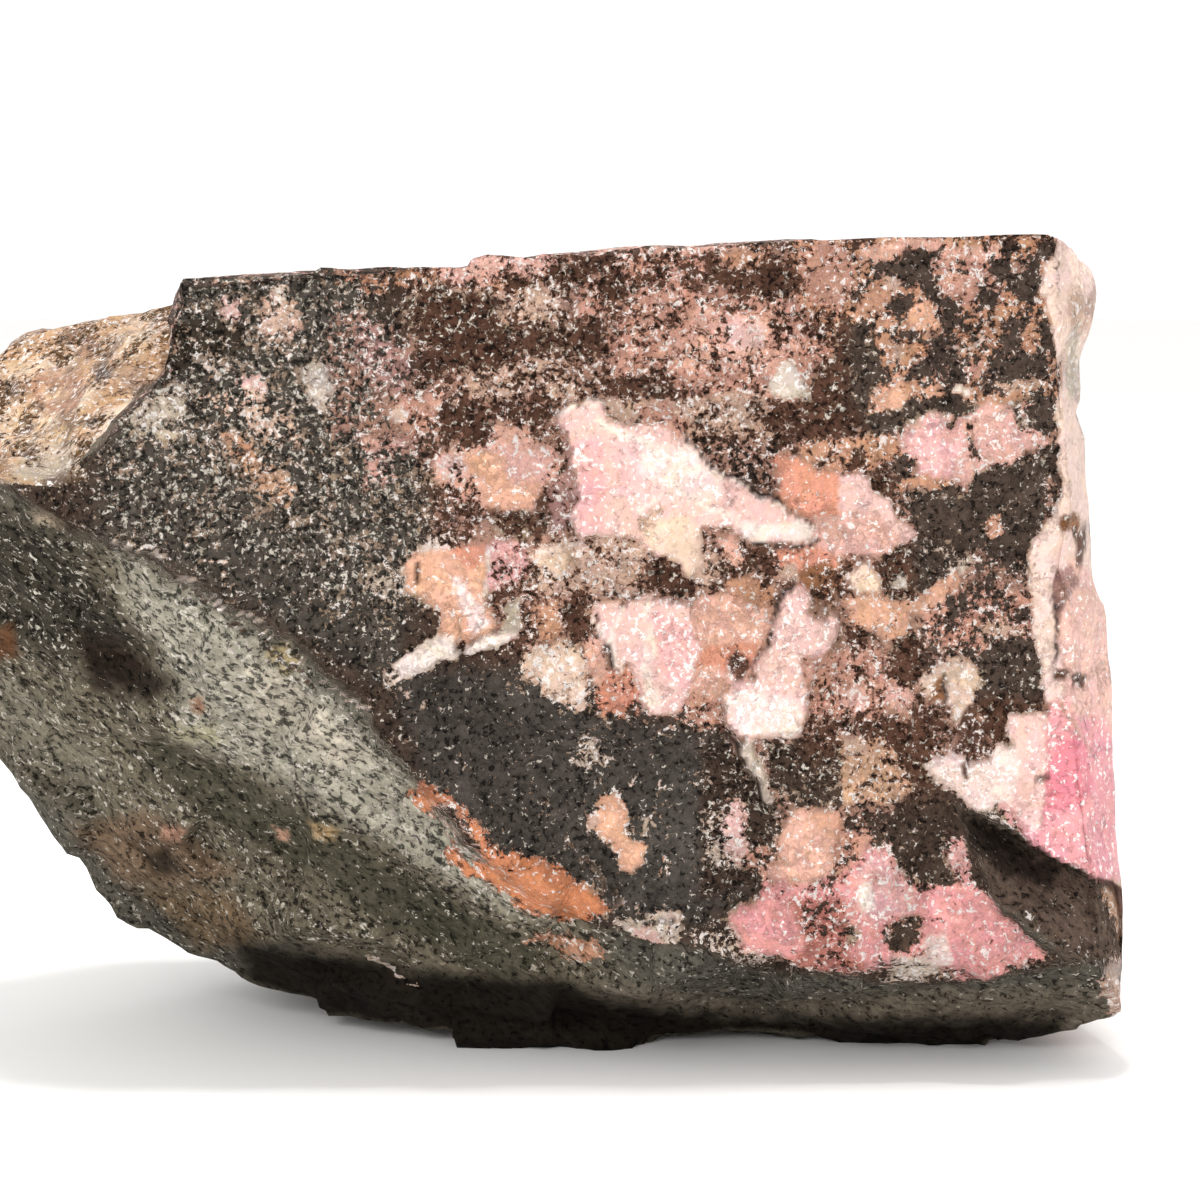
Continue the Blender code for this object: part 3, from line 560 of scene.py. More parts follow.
    (BRICK, 0.6, 0.5, 0, 5, [(786, 958), (804, 950), (836, 952), (866, 962), (860, 974),
        (800, 968)]),
    (COOL_PINK, 1.3, 0.8, 0.2, 9, [(860, 866), (880, 850), (900, 868), (912, 892), (916, 914),
        (880, 918), (860, 908)]),
    (WHITE, 2.0, 1.0, 0.1, 5, [(860, 888), (872, 886), (876, 906), (866, 912)]),
    (DUSKY, -0.7, 0.3, -0.2, 5, [(886, 928), (904, 918), (924, 918), (920, 936), (904, 950),
        (890, 948)]),
    (SILVER, 0.3, 1.0, 0, 6, [(890, 956), (934, 950), (940, 972), (920, 984), (888, 980)]),
    (GREY_GRAIN, -0.3, 0.9, 0, 4, [(848, 926), (858, 924), (858, 944), (850, 946)]),
    (ROSE, 1.2, 0.6, 0.3, 9, [(944, 905), (970, 890), (1002, 906), (1038, 950), (1000, 970),
        (946, 972), (936, 940)]),
    (WHITE_PINK, 1.2, 1.0, 0, 6, [(926, 940), (944, 936), (950, 966), (930, 970)]),
    (GREY_GRAIN, -0.55, 0.8, 0, 8, [(920, 836), (946, 832), (956, 862), (950, 884), (926, 886),
        (920, 860)]),
    (COOL_PINK, 0.35, 0.7, 0, 7, [(950, 836), (966, 842), (972, 870), (958, 876), (946, 858)]),
    (CREAM, 1.4, 0.8, 0.3, 6, [(922, 676), (936, 664), (960, 656), (976, 668), (980, 690),
        (976, 704), (966, 716), (958, 722), (952, 706), (940, 700), (926, 694)]),
    (BROWN, 1.0, 0.2, -0.1, 3, [(928, 692), (934, 678), (944, 674), (946, 692), (936, 700)]),
    (UMBER, 0.3, 0.2, -0.2, 6, [(958, 732), (966, 712), (978, 706), (990, 740), (988, 752),
        (970, 760), (960, 752)]),
    (WHITE_PINK, 2.3, 0.9, 0.6, 6, [(920, 764), (930, 756), (960, 756), (972, 762), (984, 758),
        (1000, 742), (1012, 745), (1010, 716), (1046, 712), (1048, 748), (1048, 800), (1040, 832),
        (1026, 828), (1008, 806), (996, 800), (988, 814), (970, 808), (960, 792), (940, 784)]),
    (PALE_PINK, 2.4, 0.4, 0, 5, [(1014, 716), (1046, 714), (1047, 830), (1028, 826), (1012, 806),
        (1016, 770)]),
    (COOL_PINK, 1.4, 0.6, -0.1, 3, [(1000, 800), (1010, 806), (1024, 824), (1036, 834),
        (1030, 842), (1008, 822)]),
    (SILVER, 0.5, 0.8, 0, 4, [(976, 812), (1000, 816), (1008, 830), (990, 836), (978, 826)]),
    (CLEAR_ROSE, 2.4, 0.6, 0.2, 4, [(1047, 710), (1062, 694), (1140, 690), (1140, 900),
        (1104, 882), (1085, 871), (1060, 861), (1036, 850), (1022, 840), (1046, 826)]),
    (DEEP_ROSE, 2.4, 0.4, 0, 14, [(1058, 740), (1082, 736), (1092, 780), (1078, 810), (1050, 810),
        (1048, 770)]),
    # strip down the right
    (PALE_SHELL, 2.4, 0.2, 0, 5, [(1062, 225), (1140, 225), (1140, 700), (1062, 696), (1048, 704),
        (1046, 690), (1036, 640), (1032, 600), (1030, 552), (1058, 510), (1062, 469), (1056, 424),
        (1062, 374), (1053, 335), (1042, 284), (1050, 262)]),
    (SHELL_PINK, 2.2, 0.4, 0, 14, [(1060, 566), (1078, 560), (1140, 600), (1140, 730),
        (1076, 712), (1060, 640)]),
    (BEIGE, 1.2, 0.7, 0, 12, [(1066, 300), (1080, 292), (1096, 300), (1092, 330), (1074, 336),
        (1066, 320)]),
    (SILVER, 1.4, 0.7, 0, 12, [(1066, 330), (1076, 328), (1080, 400), (1068, 396)]),
    (BROWN, 1.2, 0.1, -0.5, 3, [(1060, 517), (1083, 515), (1085, 530), (1064, 531)]),
    (UMBER, 0.8, 0.1, -0.4, 3, [(1076, 529), (1089, 528), (1084, 570), (1076, 568)]),
    (MAUVE, 1.6, 0.3, -0.5, 4, [(1054, 568), (1072, 566), (1076, 588), (1062, 604), (1060, 626),
        (1055, 600)]),
    (UMBER, 0.9, 0.1, -0.4, 2.5, [(1053, 672), (1070, 671), (1067, 683), (1058, 684)]),
    (UMBER, 0.9, 0.1, -0.4, 2.5, [(1072, 674), (1088, 674), (1083, 688), (1076, 686)]),
    # upper left
    (BEIGE, 0.65, 0.9, 0.2, 9, [(262, 298), (280, 288), (292, 300), (304, 324), (292, 336),
        (276, 344), (260, 336)]),
    (WHITE, 0.9, 0.7, 0, 4, [(270, 282), (284, 282), (290, 298), (278, 302)]),
    (PALE_PINK, 0.4, 0.8, 0.1, 9, [(220, 300), (236, 300), (240, 316), (226, 320), (218, 312)]),
    (PALE_PINK, 0.8, 0.8, 0.2, 7, [(236, 378), (256, 374), (264, 386), (262, 398), (242, 396)]),
    (SILVER, 1.0, 1.0, 0.5, 5, [(304, 366), (314, 360), (326, 368), (334, 392), (322, 412),
        (308, 404), (303, 384)]),
    (WHITE, 0.9, 0.7, 0.1, 4, [(276, 420), (288, 416), (292, 436), (280, 438)]),
    (WHITE, 0.5, 0.8, 0.1, 4, [(200, 364), (222, 366), (242, 376), (222, 376)]),
    (CREAM, 0.1, 0.6, 0, 14, [(240, 384), (284, 404), (300, 440), (280, 450), (240, 420),
        (200, 404)]),
    (QUARTZ, 0.45, 0.9, 0.2, 12, [(124, 420), (146, 392), (190, 380), (196, 398), (184, 416),
        (172, 440), (140, 436)]),
    (SAND, 0.25, 0.4, 0, 12, [(224, 430), (246, 436), (262, 462), (296, 486), (290, 506),
        (262, 500), (242, 474), (224, 450)]),
    (TAN, 0.6, 0.4, 0, 9, [(232, 440), (248, 444), (254, 462), (240, 462)]),
    (PINK, 0.1, 0.5, 0, 12, [(364, 440), (400, 440), (390, 480), (366, 490)]),
    (CREAM, 1.6, 0.5, 0.2, 4, [(392, 408), (402, 402), (408, 414), (404, 424), (394, 420)]),
    (SILVER, 0.1, 0.8, 0, 8, [(366, 574), (398, 570), (400, 594), (370, 600)]),
    (SILVER, 1.8, 0.9, 0.5, 3, [(783, 362), (794, 361), (801, 380), (813, 397), (780, 398),
        (764, 386)]),
]

# Ore that shows where the schist has already begun, in the same way.
ORE_ON_SCHIST = [
    (ORANGE, 1.0, 0.1, 0.3, 5, [(409, 802), (418, 779), (430, 775), (444, 790), (465, 803),
        (480, 828), (492, 845), (516, 852), (536, 855), (562, 870), (586, 885), (612, 911),
        (596, 919), (570, 924), (530, 913), (502, 896), (482, 884), (460, 872), (443, 856),
        (450, 836), (444, 820), (416, 810)]),
    (DUSKY, -0.5, 0.1, -0.1, 6, [(432, 806), (452, 806), (474, 838), (486, 866), (462, 858),
        (446, 832)]),
    (ORANGE, 1.6, 0.1, 0.1, 6, [(520, 866), (546, 866), (590, 894), (604, 910), (576, 914),
        (540, 896), (516, 880)]),
    (TAN, 0.6, 0.3, 0.2, 6, [(519, 942), (545, 930), (600, 934), (608, 948), (604, 960),
        (580, 962), (548, 950)]),
    (SAND, 0.9, 0.8, 0, 10, [(1100, 884), (1140, 880), (1140, 950), (1118, 940), (1110, 914)]),
    (BEIGE, 0.8, 0.9, 0, 12, [(1098, 980), (1112, 950), (1140, 946), (1140, 1030), (1108, 1020)]),
]

# Thin marks on the front: (colour, level, rise in mm, half width in units, points). Pale ones are
# painted highlights on the edges of the raised sheets, and the white and silver ones are painted
# glints, most of them along the cracks of the schist. Dark ones are cracks, darkened by painted
# shade, and painted shadows along the edges of the sheets.
HIGHLIGHT_MARK = "fff3ea"
CRACK_SHADE_MARK = "38281f"
MARKS = [
    (CRACK_SHADE_MARK, 1.8, -0.5, 2.0, [(790, 583), (780, 598), (770, 624), (762, 650), (752, 676)]),
    (HIGHLIGHT_MARK, 2.5, 0.3, 2.2, [(690, 444), (706, 468), (724, 478), (744, 484), (762, 498),
        (784, 506)]),
    (CRACK_SHADE_MARK, 1.8, -0.5, 1.8, [(688, 440), (702, 462), (720, 473), (742, 479), (760, 493),
        (778, 499)]),
    (HIGHLIGHT_MARK, 2.5, 0.3, 1.8, [(800, 520), (815, 529), (808, 543), (780, 541)]),
    (CRACK_SHADE_MARK, 1.8, -0.3, 1.6, [(752, 543), (780, 547), (806, 548), (820, 536)]),
    (HIGHLIGHT_MARK, 2.6, 0.2, 3.0, [(600, 420), (622, 436), (650, 446)]),
    (HIGHLIGHT_MARK, 2.6, 0.2, 2.4, [(560, 416), (575, 404), (600, 402)]),
    (HIGHLIGHT_MARK, 2.6, 0.1, 2.0, [(664, 476), (690, 500), (716, 512), (740, 516)]),
    (HIGHLIGHT_MARK, 2.6, 0.2, 2.0, [(634, 512), (648, 500), (660, 494)]),
    (BROWN_PINK, 1.5, -0.2, 1.6, [(706, 530), (720, 534), (740, 536)]),
    (HIGHLIGHT_MARK, 2.6, 0.3, 2.2, [(622, 608), (614, 630), (616, 660), (622, 672)]),
    (HIGHLIGHT_MARK, 2.6, 0.3, 2.4, [(650, 604), (652, 640), (650, 680), (662, 712)]),
    (HIGHLIGHT_MARK, 2.6, 0.2, 2.2, [(642, 640), (646, 680), (654, 712)]),
    (HIGHLIGHT_MARK, 2.6, 0.2, 2.4, [(594, 616), (606, 644), (616, 664)]),
    (CRACK_SHADE_MARK, 1.8, -0.2, 2.4, [(606, 648), (612, 660), (614, 672)]),
    (CRACK_SHADE_MARK, 1.8, -0.9, 2.4, [(722, 732), (738, 746), (746, 762), (756, 786), (766, 806)]),
    (HIGHLIGHT_MARK, 2.0, 0.3, 2.0, [(764, 730), (790, 732), (802, 728)]),
    (HIGHLIGHT_MARK, 1.6, 0.4, 2.2, [(746, 754), (756, 770), (762, 790), (770, 800)]),
    (CRACK_SHADE_MARK, 1.8, -0.4, 2.4, [(768, 806), (780, 812)]),
    (HIGHLIGHT_MARK, 0.9, 0.2, 2.6, [(486, 548), (488, 570), (484, 594)]),
    (UMBER, 0.2, -0.4, 2.4, [(470, 516), (500, 514), (530, 518), (550, 514)]),
    (UMBER, -0.4, -0.2, 1.8, [(556, 448), (564, 460), (562, 470)]),
    (HIGHLIGHT_MARK, 1.0, 0.3, 2.0, [(540, 556), (560, 546), (580, 542)]),
    (UMBER, 0.4, -0.3, 2.0, [(418, 566), (420, 576), (416, 582)]),
    (HIGHLIGHT_MARK, 2.4, 0.4, 2.6, [(396, 666), (412, 654), (438, 638), (452, 640)]),
    (HIGHLIGHT_MARK, 2.4, 0.3, 2.2, [(470, 646), (500, 637), (516, 634)]),
    (HIGHLIGHT_MARK, 0.8, 0.3, 1.8, [(386, 670), (396, 680), (414, 700), (424, 706)]),
    (HIGHLIGHT_MARK, 0.9, 0.3, 1.8, [(630, 784), (640, 774), (652, 770)]),
    (HIGHLIGHT_MARK, 0.9, 0.3, 1.6, [(660, 776), (666, 786)]),
    (CRACK_SHADE_MARK, 1.8, -0.6, 1.8, [(564, 842), (590, 862), (606, 892), (624, 908), (660, 920),
        (680, 924)]),
    (HIGHLIGHT_MARK, 0.9, 0.3, 1.6, [(620, 902), (636, 912), (664, 916)]),
    (HIGHLIGHT_MARK, 1.4, 0.3, 2.2, [(950, 347), (962, 349), (974, 346), (982, 338)]),
    (CRACK_SHADE_MARK, 1.8, -0.2, 2.0, [(944, 674), (946, 700)]),
    (CRACK_SHADE_MARK, 1.8, -0.4, 2.6, [(1026, 914), (1056, 938), (1084, 956), (1104, 962)]),
    (UMBER, 0.5, -0.2, 1.4, [(1036, 784), (1040, 778), (1048, 776)]),
    (UMBER, 0.5, -0.4, 1.8, [(966, 762), (966, 772), (970, 780)]),
    (CRACK_SHADE_MARK, 1.8, -0.6, 1.8, [(1054, 600), (1058, 630), (1056, 660)]),
    (PINK, 2.0, 0.3, 1.8, [(1058, 690), (1070, 712), (1082, 736), (1092, 752)]),
    (HIGHLIGHT_MARK, 1.2, 0.2, 1.8, [(200, 557), (216, 558), (226, 563)]),
    (GREY_GRAIN, 0.9, 0.2, 1.6, [(186, 574), (196, 566), (202, 557)]),
    (HIGHLIGHT_MARK, 1.6, 0.3, 2.4, [(182, 578), (194, 584)]),
    (WHITE, 2.6, 0.2, 3.4, [(956, 388), (962, 390)]),
    (SILVER, 1.6, 0.2, 1.8, [(110, 540), (140, 550), (165, 560)]),
    (CRACK_SHADE_MARK, 1.8, -0.4, 2.0, [(112, 546), (165, 567), (190, 590), (215, 607)]),
    (WHITE, 2.2, 0.3, 2.6, [(213, 598), (222, 605)]),
    (SILVER, 1.6, 0.3, 2.2, [(238, 612), (250, 616), (262, 622)]),
    (SILVER, 0.9, 0.3, 2.0, [(262, 630), (282, 642), (300, 660)]),
    (CRACK_SHADE_MARK, 1.8, -0.4, 2.0, [(232, 620), (262, 640), (290, 664), (320, 690)]),
    (SILVER, 0.8, 0.3, 2.0, [(322, 682), (350, 700), (380, 716)]),
    (SILVER, 0.9, 0.2, 2.2, [(364, 956), (388, 966), (414, 984)]),
]

# Ground between the ore on the front: (colour, share of pale flecks, width of the edge
# in units, outline in u, v).
GROUND_PATCHES = [
    ("4b4a46", 0.52, 50, [(100, 260), (360, 260), (420, 420), (440, 560), (380, 640), (250, 600),
        (100, 540)]),
    ("553f35", 0.36, 50, [(400, 230), (1070, 225), (1070, 740), (900, 800), (700, 700),
        (440, 640), (420, 420)]),
    ("4b433e", 0.24, 20, [(850, 250), (1060, 240), (1060, 700), (930, 700), (900, 480),
        (850, 400)]),
    ("464543", 0.19, 26, [(392, 672), (520, 668), (600, 712), (720, 738), (772, 800), (760, 880),
        (700, 925), (610, 918), (520, 880), (430, 790)]),
    ("3a352e", 0.30, 14, [(160, 320), (240, 320), (250, 356), (160, 376)]),
    ("4a4945", 0.30, 20, [(155, 540), (240, 540), (330, 600), (400, 600), (400, 690), (330, 650)]),
    ("4b4b49", 0.14, 14, [(640, 790), (700, 750), (720, 790), (690, 900), (620, 900)]),
    ("443a34", 0.40, 14, [(700, 745), (800, 740), (780, 800), (760, 880), (700, 900)]),
    ("352e29", 0.14, 10, [(690, 440), (780, 440), (780, 480), (750, 486), (710, 464)]),
]

# Ground outside those patches, on the front, on the rest of the body, on the schist of
# each and under the tan face. The oxide of the front is warmed by this share of each of
# red, green and blue.
FRONT_OXIDE = "463d37"
OXIDE_WARMTH = (0.92, 0.79, 0.71)
BODY_OXIDE = "4d443d"
BODY_OXIDE_BROWN = "5b4a41"
FRONT_SCHIST = "545047"
BODY_SCHIST = "6a6456"
BODY_SCHIST_PALE = "7d7667"
BODY_SCHIST_OLIVE = "4c473b"
# Painted shade for the schist where it faces down, under the stone.
BODY_SCHIST_UNDERSIDE_SHADE = "3a342a"
TAN_GROUND = "63482e"

# Colours of the tan face: its stone, then painted shade for its shadier parts and its hollows, and
# a painted highlight for its crests.
TAN_STONE = "bd9a73"
TAN_SHADE = "a37d58"
TAN_HOLLOW_SHADE = "5f4630"
TAN_CREST_HIGHLIGHT = "f3e4cf"

# Levels of ore, frost and flecks where no patch or field says otherwise.
BARE_ORE = -0.7
SCHIST_ORE = -1.6
PALE_END_ORE = 1.8
FRONT_FROST = 0.1
BODY_FROST = 0.3
PALE_END_FROST = 0.5
TAN_FROST = 0.35
FRONT_FLECKS = 0.2
SCHIST_FLECKS = 0.3
UNDER_FLECKS = -0.15
TAN_FLECKS = 0.5

# Random fields of the minerals: the level round which each one varies, and what it
# sums, as (size across in mm, height, seed).
FIELDS = {
    "ore": (0.0, [(15.0, 0.55, 70), (7.0, 0.33, 71), (3.0, 0.25, 72)]),
    "hue": (0.5, [(12.0, 0.6, 73), (4.0, 0.3, 74)]),
    "oxide": (0.5, [(9.0, 1.0, 75)]),
    "flecks": (0.25, [(6.0, 0.12, 76)]),
    "pale schist": (0.5, [(8.0, 1.0, 77)]),
    "olive schist": (0.0, [(10.0, 1.0, 78)]),
    "pale end": (0.7, [(13.0, 0.9, 79)]),
    "low edge": (0.0, [(14.0, 6.0, 90)]),
    "left edge": (0.0, [(12.0, 5.0, 91)]),
    "tan edge": (0.0, [(5.0, 2.0, 92)]),
    "tan shade": (0.4, [(6.0, 1.1, 93)]),
    "tan hollow shade": (-0.25, [(2.6, 2.0, 95)]),
    "tan crest highlights": (-0.45, [(2.4, 2.0, 96)]),
    "tan ore": (0.45, [(3.4, 1.0, 97)]),
    "corner": (0.0, [(7.0, 9.0, 98), (2.0, 3.0, 99)]),
}

# Most that these may cover: the painted shade under the stone, and on the tan face the painted
# shade of its shadier parts and its hollows, and the painted highlight of its crests. The ore of
# the tan face comes in this many times as fast as its colour.
UNDERSIDE_SHADE_COVER = 0.6
TAN_SHADE_COVER = 0.8
TAN_HOLLOW_SHADE_COVER = 0.9
TAN_CREST_HIGHLIGHT_COVER = 0.9
TAN_ORE_SPEED = 2.0

# Ore of the body by its hue field: each colour comes in from the first value of the
# field to the second.
BODY_TINTS = [(SALMON, (0.45, 0.75)), (PALE_PINK, (0.8, 1.05)), (DUSKY, (0.3, 0.0))]

# Where each of these comes in, in mm: schist downwards and to the left, pale ore to the
# right and up from the floor, the tan face upwards, and the chart of the front on its
# way forwards and to the right round the right corner.
LOW_SCHIST = (34.0, 28.0)
LEFT_SCHIST = (-34.0, -40.0)
PALE_END_RIGHT = (53.0, 56.0)
PALE_END_UP = (1.0, 6.0)
TAN_HIGH = (59.0, 62.0)
CORNER_CHART = (-13.5, -20.5)
CORNER_RIGHT = (52.0, 56.0)

# Where the schist begins: below this line, left to right in u and v, and in the groove.
SCHIST_LINE = [(-400, 450), (0, 484), (60, 520), (117, 548), (163, 568), (200, 590),
               (250, 618), (290, 640), (330, 680), (357, 700), (392, 757), (430, 795),
               (470, 850), (520, 890), (605, 930), (700, 950), (765, 972), (860, 978),
               (940, 984), (1048, 968), (1400, 968)]
GROOVE_AREA = [(958, 806), (1009, 832), (1053, 860), (1103, 881), (1140, 905),
               (1136, 960), (1094, 973), (1072, 961), (1025, 933), (994, 898)]

# Patches on the schist: (colour, share of pale flecks, width of the edge, outline). Three of them
# are painted shade: in the hollow of the slope, along the underside at the foot, and a shadow under
# the upper lip of the groove.
SCHIST_PATCHES = [
    ("675f50", 0.41, 60, [(-100, 480), (160, 560), (420, 790), (600, 920), (620, 1060),
        (300, 960), (0, 760)]),
    ("979283", 0.57, 30, [(120, 560), (190, 592), (250, 634), (320, 684), (370, 735), (420, 800),
        (500, 870), (560, 925), (480, 900), (420, 860), (330, 810), (240, 765), (180, 740),
        (180, 680), (130, 600)]),
    ("b1a898", 0.46, 16, [(240, 660), (300, 680), (380, 760), (330, 770), (260, 720)]),
    ("aa9874", 0.50, 8, [(266, 648), (286, 645), (300, 664), (284, 676)]),
    ("94705a", 0.30, 6, [(190, 696), (206, 696), (206, 712), (194, 712)]),
    ("9a9378", 0.50, 14, [(170, 725), (220, 728), (224, 746), (180, 744)]),
    ("3d382f", 0.40, 40, [(-100, 470), (60, 530), (110, 590), (150, 650), (60, 660), (-100, 620)]),
    ("4c483b", 0.22, 18, [(150, 735), (230, 770), (330, 825), (420, 880), (500, 925), (560, 960),
        (500, 975), (400, 930), (300, 870), (200, 810), (140, 770)]),
    ("777162", 0.34, 24, [(-60, 640), (30, 690), (110, 770), (90, 800), (0, 740), (-60, 700)]),
    # Painted shade in the hollow of the slope.
    ("2c241c", 0.05, 26, [(75, 636), (110, 630), (150, 665), (176, 680), (150, 700), (90, 690)]),
    ("5c3f2a", 0.10, 12, [(-20, 625), (12, 625), (16, 660), (-20, 664)]),
    ("a5947f", 0.30, 12, [(34, 500), (60, 504), (66, 528), (44, 524)]),
    ("6f5c4a", 0.30, 22, [(70, 830), (150, 812), (200, 840), (240, 870), (190, 890), (120, 880)]),
    ("3a2f24", 0.10, 12, [(140, 850), (170, 848), (180, 872), (150, 874)]),
    ("6d5b46", 0.30, 22, [(140, 890), (230, 890), (270, 940), (200, 950)]),
    ("a8806c", 0.20, 7, [(160, 828), (184, 830), (180, 842), (164, 840)]),
    ("a08763", 0.30, 9, [(312, 824), (340, 828), (334, 840), (314, 838)]),
    ("b08a74", 0.20, 5, [(274, 826), (286, 828), (288, 838), (278, 838)]),
    ("6b6255", 0.16, 24, [(620, 985), (760, 1000), (1100, 985), (1130, 1060), (500, 1090),
        (420, 1000)]),
    # Painted shade along the underside at the foot of the stone.
    ("1e1913", -0.5, 26, [(240, 940), (400, 966), (560, 980), (640, 1006), (800, 1016),
        (1060, 1016), (1080, 1090), (250, 1090)]),
    ("5c4c42", 0.14, 8, [(958, 806), (1053, 860), (1140, 905), (1136, 960), (1072, 961),
        (994, 898)]),
    # Painted shadow under the upper lip of the groove.
    ("2e251f", 0.04, 6, [(962, 812), (1010, 840), (1060, 870), (1050, 884), (1004, 876),
        (974, 850)]),
]

# The tan face of the left lump: (colour, width of the edge, outline).
TAN_PATCHES = [
    ("d3af86", 30, [(-100, 300), (200, 280), (160, 480), (-100, 500)]),
    ("d2ac82", 10, [(110, 316), (170, 304), (165, 322), (120, 328)]),
    ("8d6a4c", 8, [(60, 330), (90, 328), (98, 350), (70, 346)]),
    ("a98563", 8, [(76, 340), (104, 342), (106, 358), (82, 360)]),
    ("f2dcbf", 7, [(0, 368), (30, 360), (70, 352), (84, 364), (40, 372), (10, 384)]),
    ("ecd0aa", 9, [(110, 330), (156, 328), (150, 356), (120, 358)]),
    ("b58a6c", 8, [(40, 368), (70, 366), (90, 390), (90, 402), (60, 416), (38, 414), (30, 392)]),
    ("eed3b2", 6, [(42, 394), (70, 392), (66, 400), (44, 400)]),
    # The next three dark brown spots are painted shadows in hollows of the tan face.
    ("4e3218", 5, [(92, 366), (106, 366), (112, 378), (102, 386), (94, 376)]),
    ("5a3d24", 4, [(98, 352), (112, 354), (108, 362), (98, 360)]),
    ("4f3a28", 4, [(82, 416), (94, 420), (92, 434), (84, 436)]),
    ("8c7158", 6, [(0, 384), (28, 382), (30, 396), (0, 400)]),
    ("e8cca6", 12, [(-60, 402), (30, 404), (60, 424), (80, 440), (40, 448), (-60, 450)]),
    ("c6a78c", 8, [(116, 372), (146, 366), (140, 386), (118, 390)]),
    ("f7e8d6", 6, [(100, 410), (136, 396), (126, 414), (106, 440), (96, 436)]),
    ("c4baa6", 12, [(20, 450), (70, 446), (112, 430), (130, 440), (110, 470), (60, 486),
        (10, 480)]),
    ("f6f1ea", 5, [(82, 450), (100, 446), (98, 466), (84, 470)]),
    ("9c7c5a", 7, [(-20, 456), (10, 458), (12, 476), (-20, 478)]),
]

# Widths in chart units: how far from a line or outline its distance is still worked
# out, the edge of a thin mark, the ragged edge that patches below the sheet level have
# as well as their own, the edge of the schist, and the least width of a step.
CHART_REACH = 60.0
MARK_EDGE = 2.4
RAGGED_EDGE = 12.0
SCHIST_EDGE = 8.0
LEAST_STEP = 5.0
SHEET_LEVEL = 2.1

# A raised patch takes away this share of the height of what it lies on. A patch's
# colour reaches this many times further out than its ore does.
STEP_REPLACES = 0.6
TINT_REACH = 1.6

# Broad swells of the front as (height in mm, width of the edge, outline in u, v).
FRONT_SWELLS = [
    (0.6, 14, [(585, 590), (700, 590), (712, 660), (655, 722), (596, 690)]),
    (0.5, 20, [(400, 530), (490, 520), (500, 640), (410, 640)]),
    (-1.2, 20, [(425, 690), (540, 735), (725, 755), (765, 825), (755, 905), (610, 905),
        (500, 835)]),
    (-0.8, 18, [(905, 535), (1040, 515), (1040, 610), (945, 590)]),
    (0.6, 14, [(920, 705), (1040, 690), (1045, 800), (960, 795)]),
    (0.6, 20, [(725, 920), (860, 845), (1020, 950), (860, 970)]),
]


def along(rail, share):
    """Points at the given shares of the length of one long edge of the grid."""
    return np.stack([np.interp(share, rail[:, 0], rail[:, k]) for k in (1, 2, 3)], 1)


def grid_points(long_share, deep_share, tall_share):
    """Points of the box grid, eased in straight lines between its four long edges."""
    deep = deep_share[:, None]
    tall = tall_share[:, None]
    low = (1 - deep) * along(FRONT_LOW, long_share) + deep * along(BACK_LOW, long_share)
    high = (1 - deep) * along(FRONT_HIGH, long_share) + deep * along(BACK_HIGH, long_share)
    return (1 - tall) * low + tall * high


def turned(points):
    """Points turned about X, then Z, so that random fields miss the grid's directions."""
    cx, sx = np.cos(TURN_ABOUT_X), np.sin(TURN_ABOUT_X)
    cz, sz = np.cos(TURN_ABOUT_Z), np.sin(TURN_ABOUT_Z)
    about_x = np.array([(1, 0, 0), (0, cx, -sx), (0, sx, cx)])
    about_z = np.array([(cz, -sz, 0), (sz, cz, 0), (0, 0, 1)])
    return points @ about_x @ about_z


def noise(points, size, seed):
    """Smooth random field from -1 to 1: seeded values at the corners of cubes of the
    given size, eased between the eight corners round each point by 3t^2 - 2t^3."""
    shape = (FIELD_CORNERS, FIELD_CORNERS, FIELD_CORNERS)
    values = np.random.default_rng(seed).uniform(-1.0, 1.0, shape)
    cell = turned(points) / size
    low = np.floor(cell).astype(int)
    part = cell - low
    part = part * part * (3.0 - 2.0 * part)
    total = np.zeros(len(points))
    for corner in np.ndindex(2, 2, 2):
        weight = np.prod(np.where(corner, part, 1.0 - part), axis=1)
        x, y, z = ((low + corner) % FIELD_CORNERS).T
        total += weight * values[x, y, z]
    return total


def fields(points, table):
    """Sum of random fields, height * noise, from rows of (size, height, seed)."""
    return sum(height * noise(points, size, seed) for size, height, seed in table)


def field(points, name):
    """One of the minerals' random fields: its level plus its sum of fields."""
    level, table = FIELDS[name]
    return level + fields(points, table)


def chips(points, size, seed):
    """Small flat facets: a point's height is the tilt of the chip whose middle is
    nearest, eased to its neighbours' by exp(-sharpness * distance^2)."""
    draws = np.random.default_rng(seed)
    shape = (CHIP_CELLS, CHIP_CELLS, CHIP_CELLS, 3)
    middles = draws.uniform(*CHIP_MIDDLE, shape)
    leans = draws.normal(0.0, CHIP_LEAN, shape)
    cell = turned(points) / size
    base = np.floor(cell).astype(int)
    height = np.zeros(len(points))
    total = np.zeros(len(points))
    for step in np.ndindex(3, 3, 3):
        corner = base + np.array(step) - 1
        x, y, z = (corner % CHIP_CELLS).T
        offset = cell - corner - middles[x, y, z]
        nearness = np.exp(-CHIP_SHARPNESS * (offset * offset).sum(axis=1)) + TINY
        height += nearness * (offset * leans[x, y, z]).sum(axis=1)
        total += nearness
    return size * height / total


def soft_nearest(distances):
    """Soft smallest of each row, -s ln(sum exp(-d/s)), and each column's share in it."""
    nearest = distances.min(axis=1, keepdims=True)
    share = np.exp((nearest - distances) / EDGE_SOFTNESS)
    total = share.sum(axis=1, keepdims=True)
    return nearest[:, 0] - EDGE_SOFTNESS * np.log(total[:, 0]), share / total


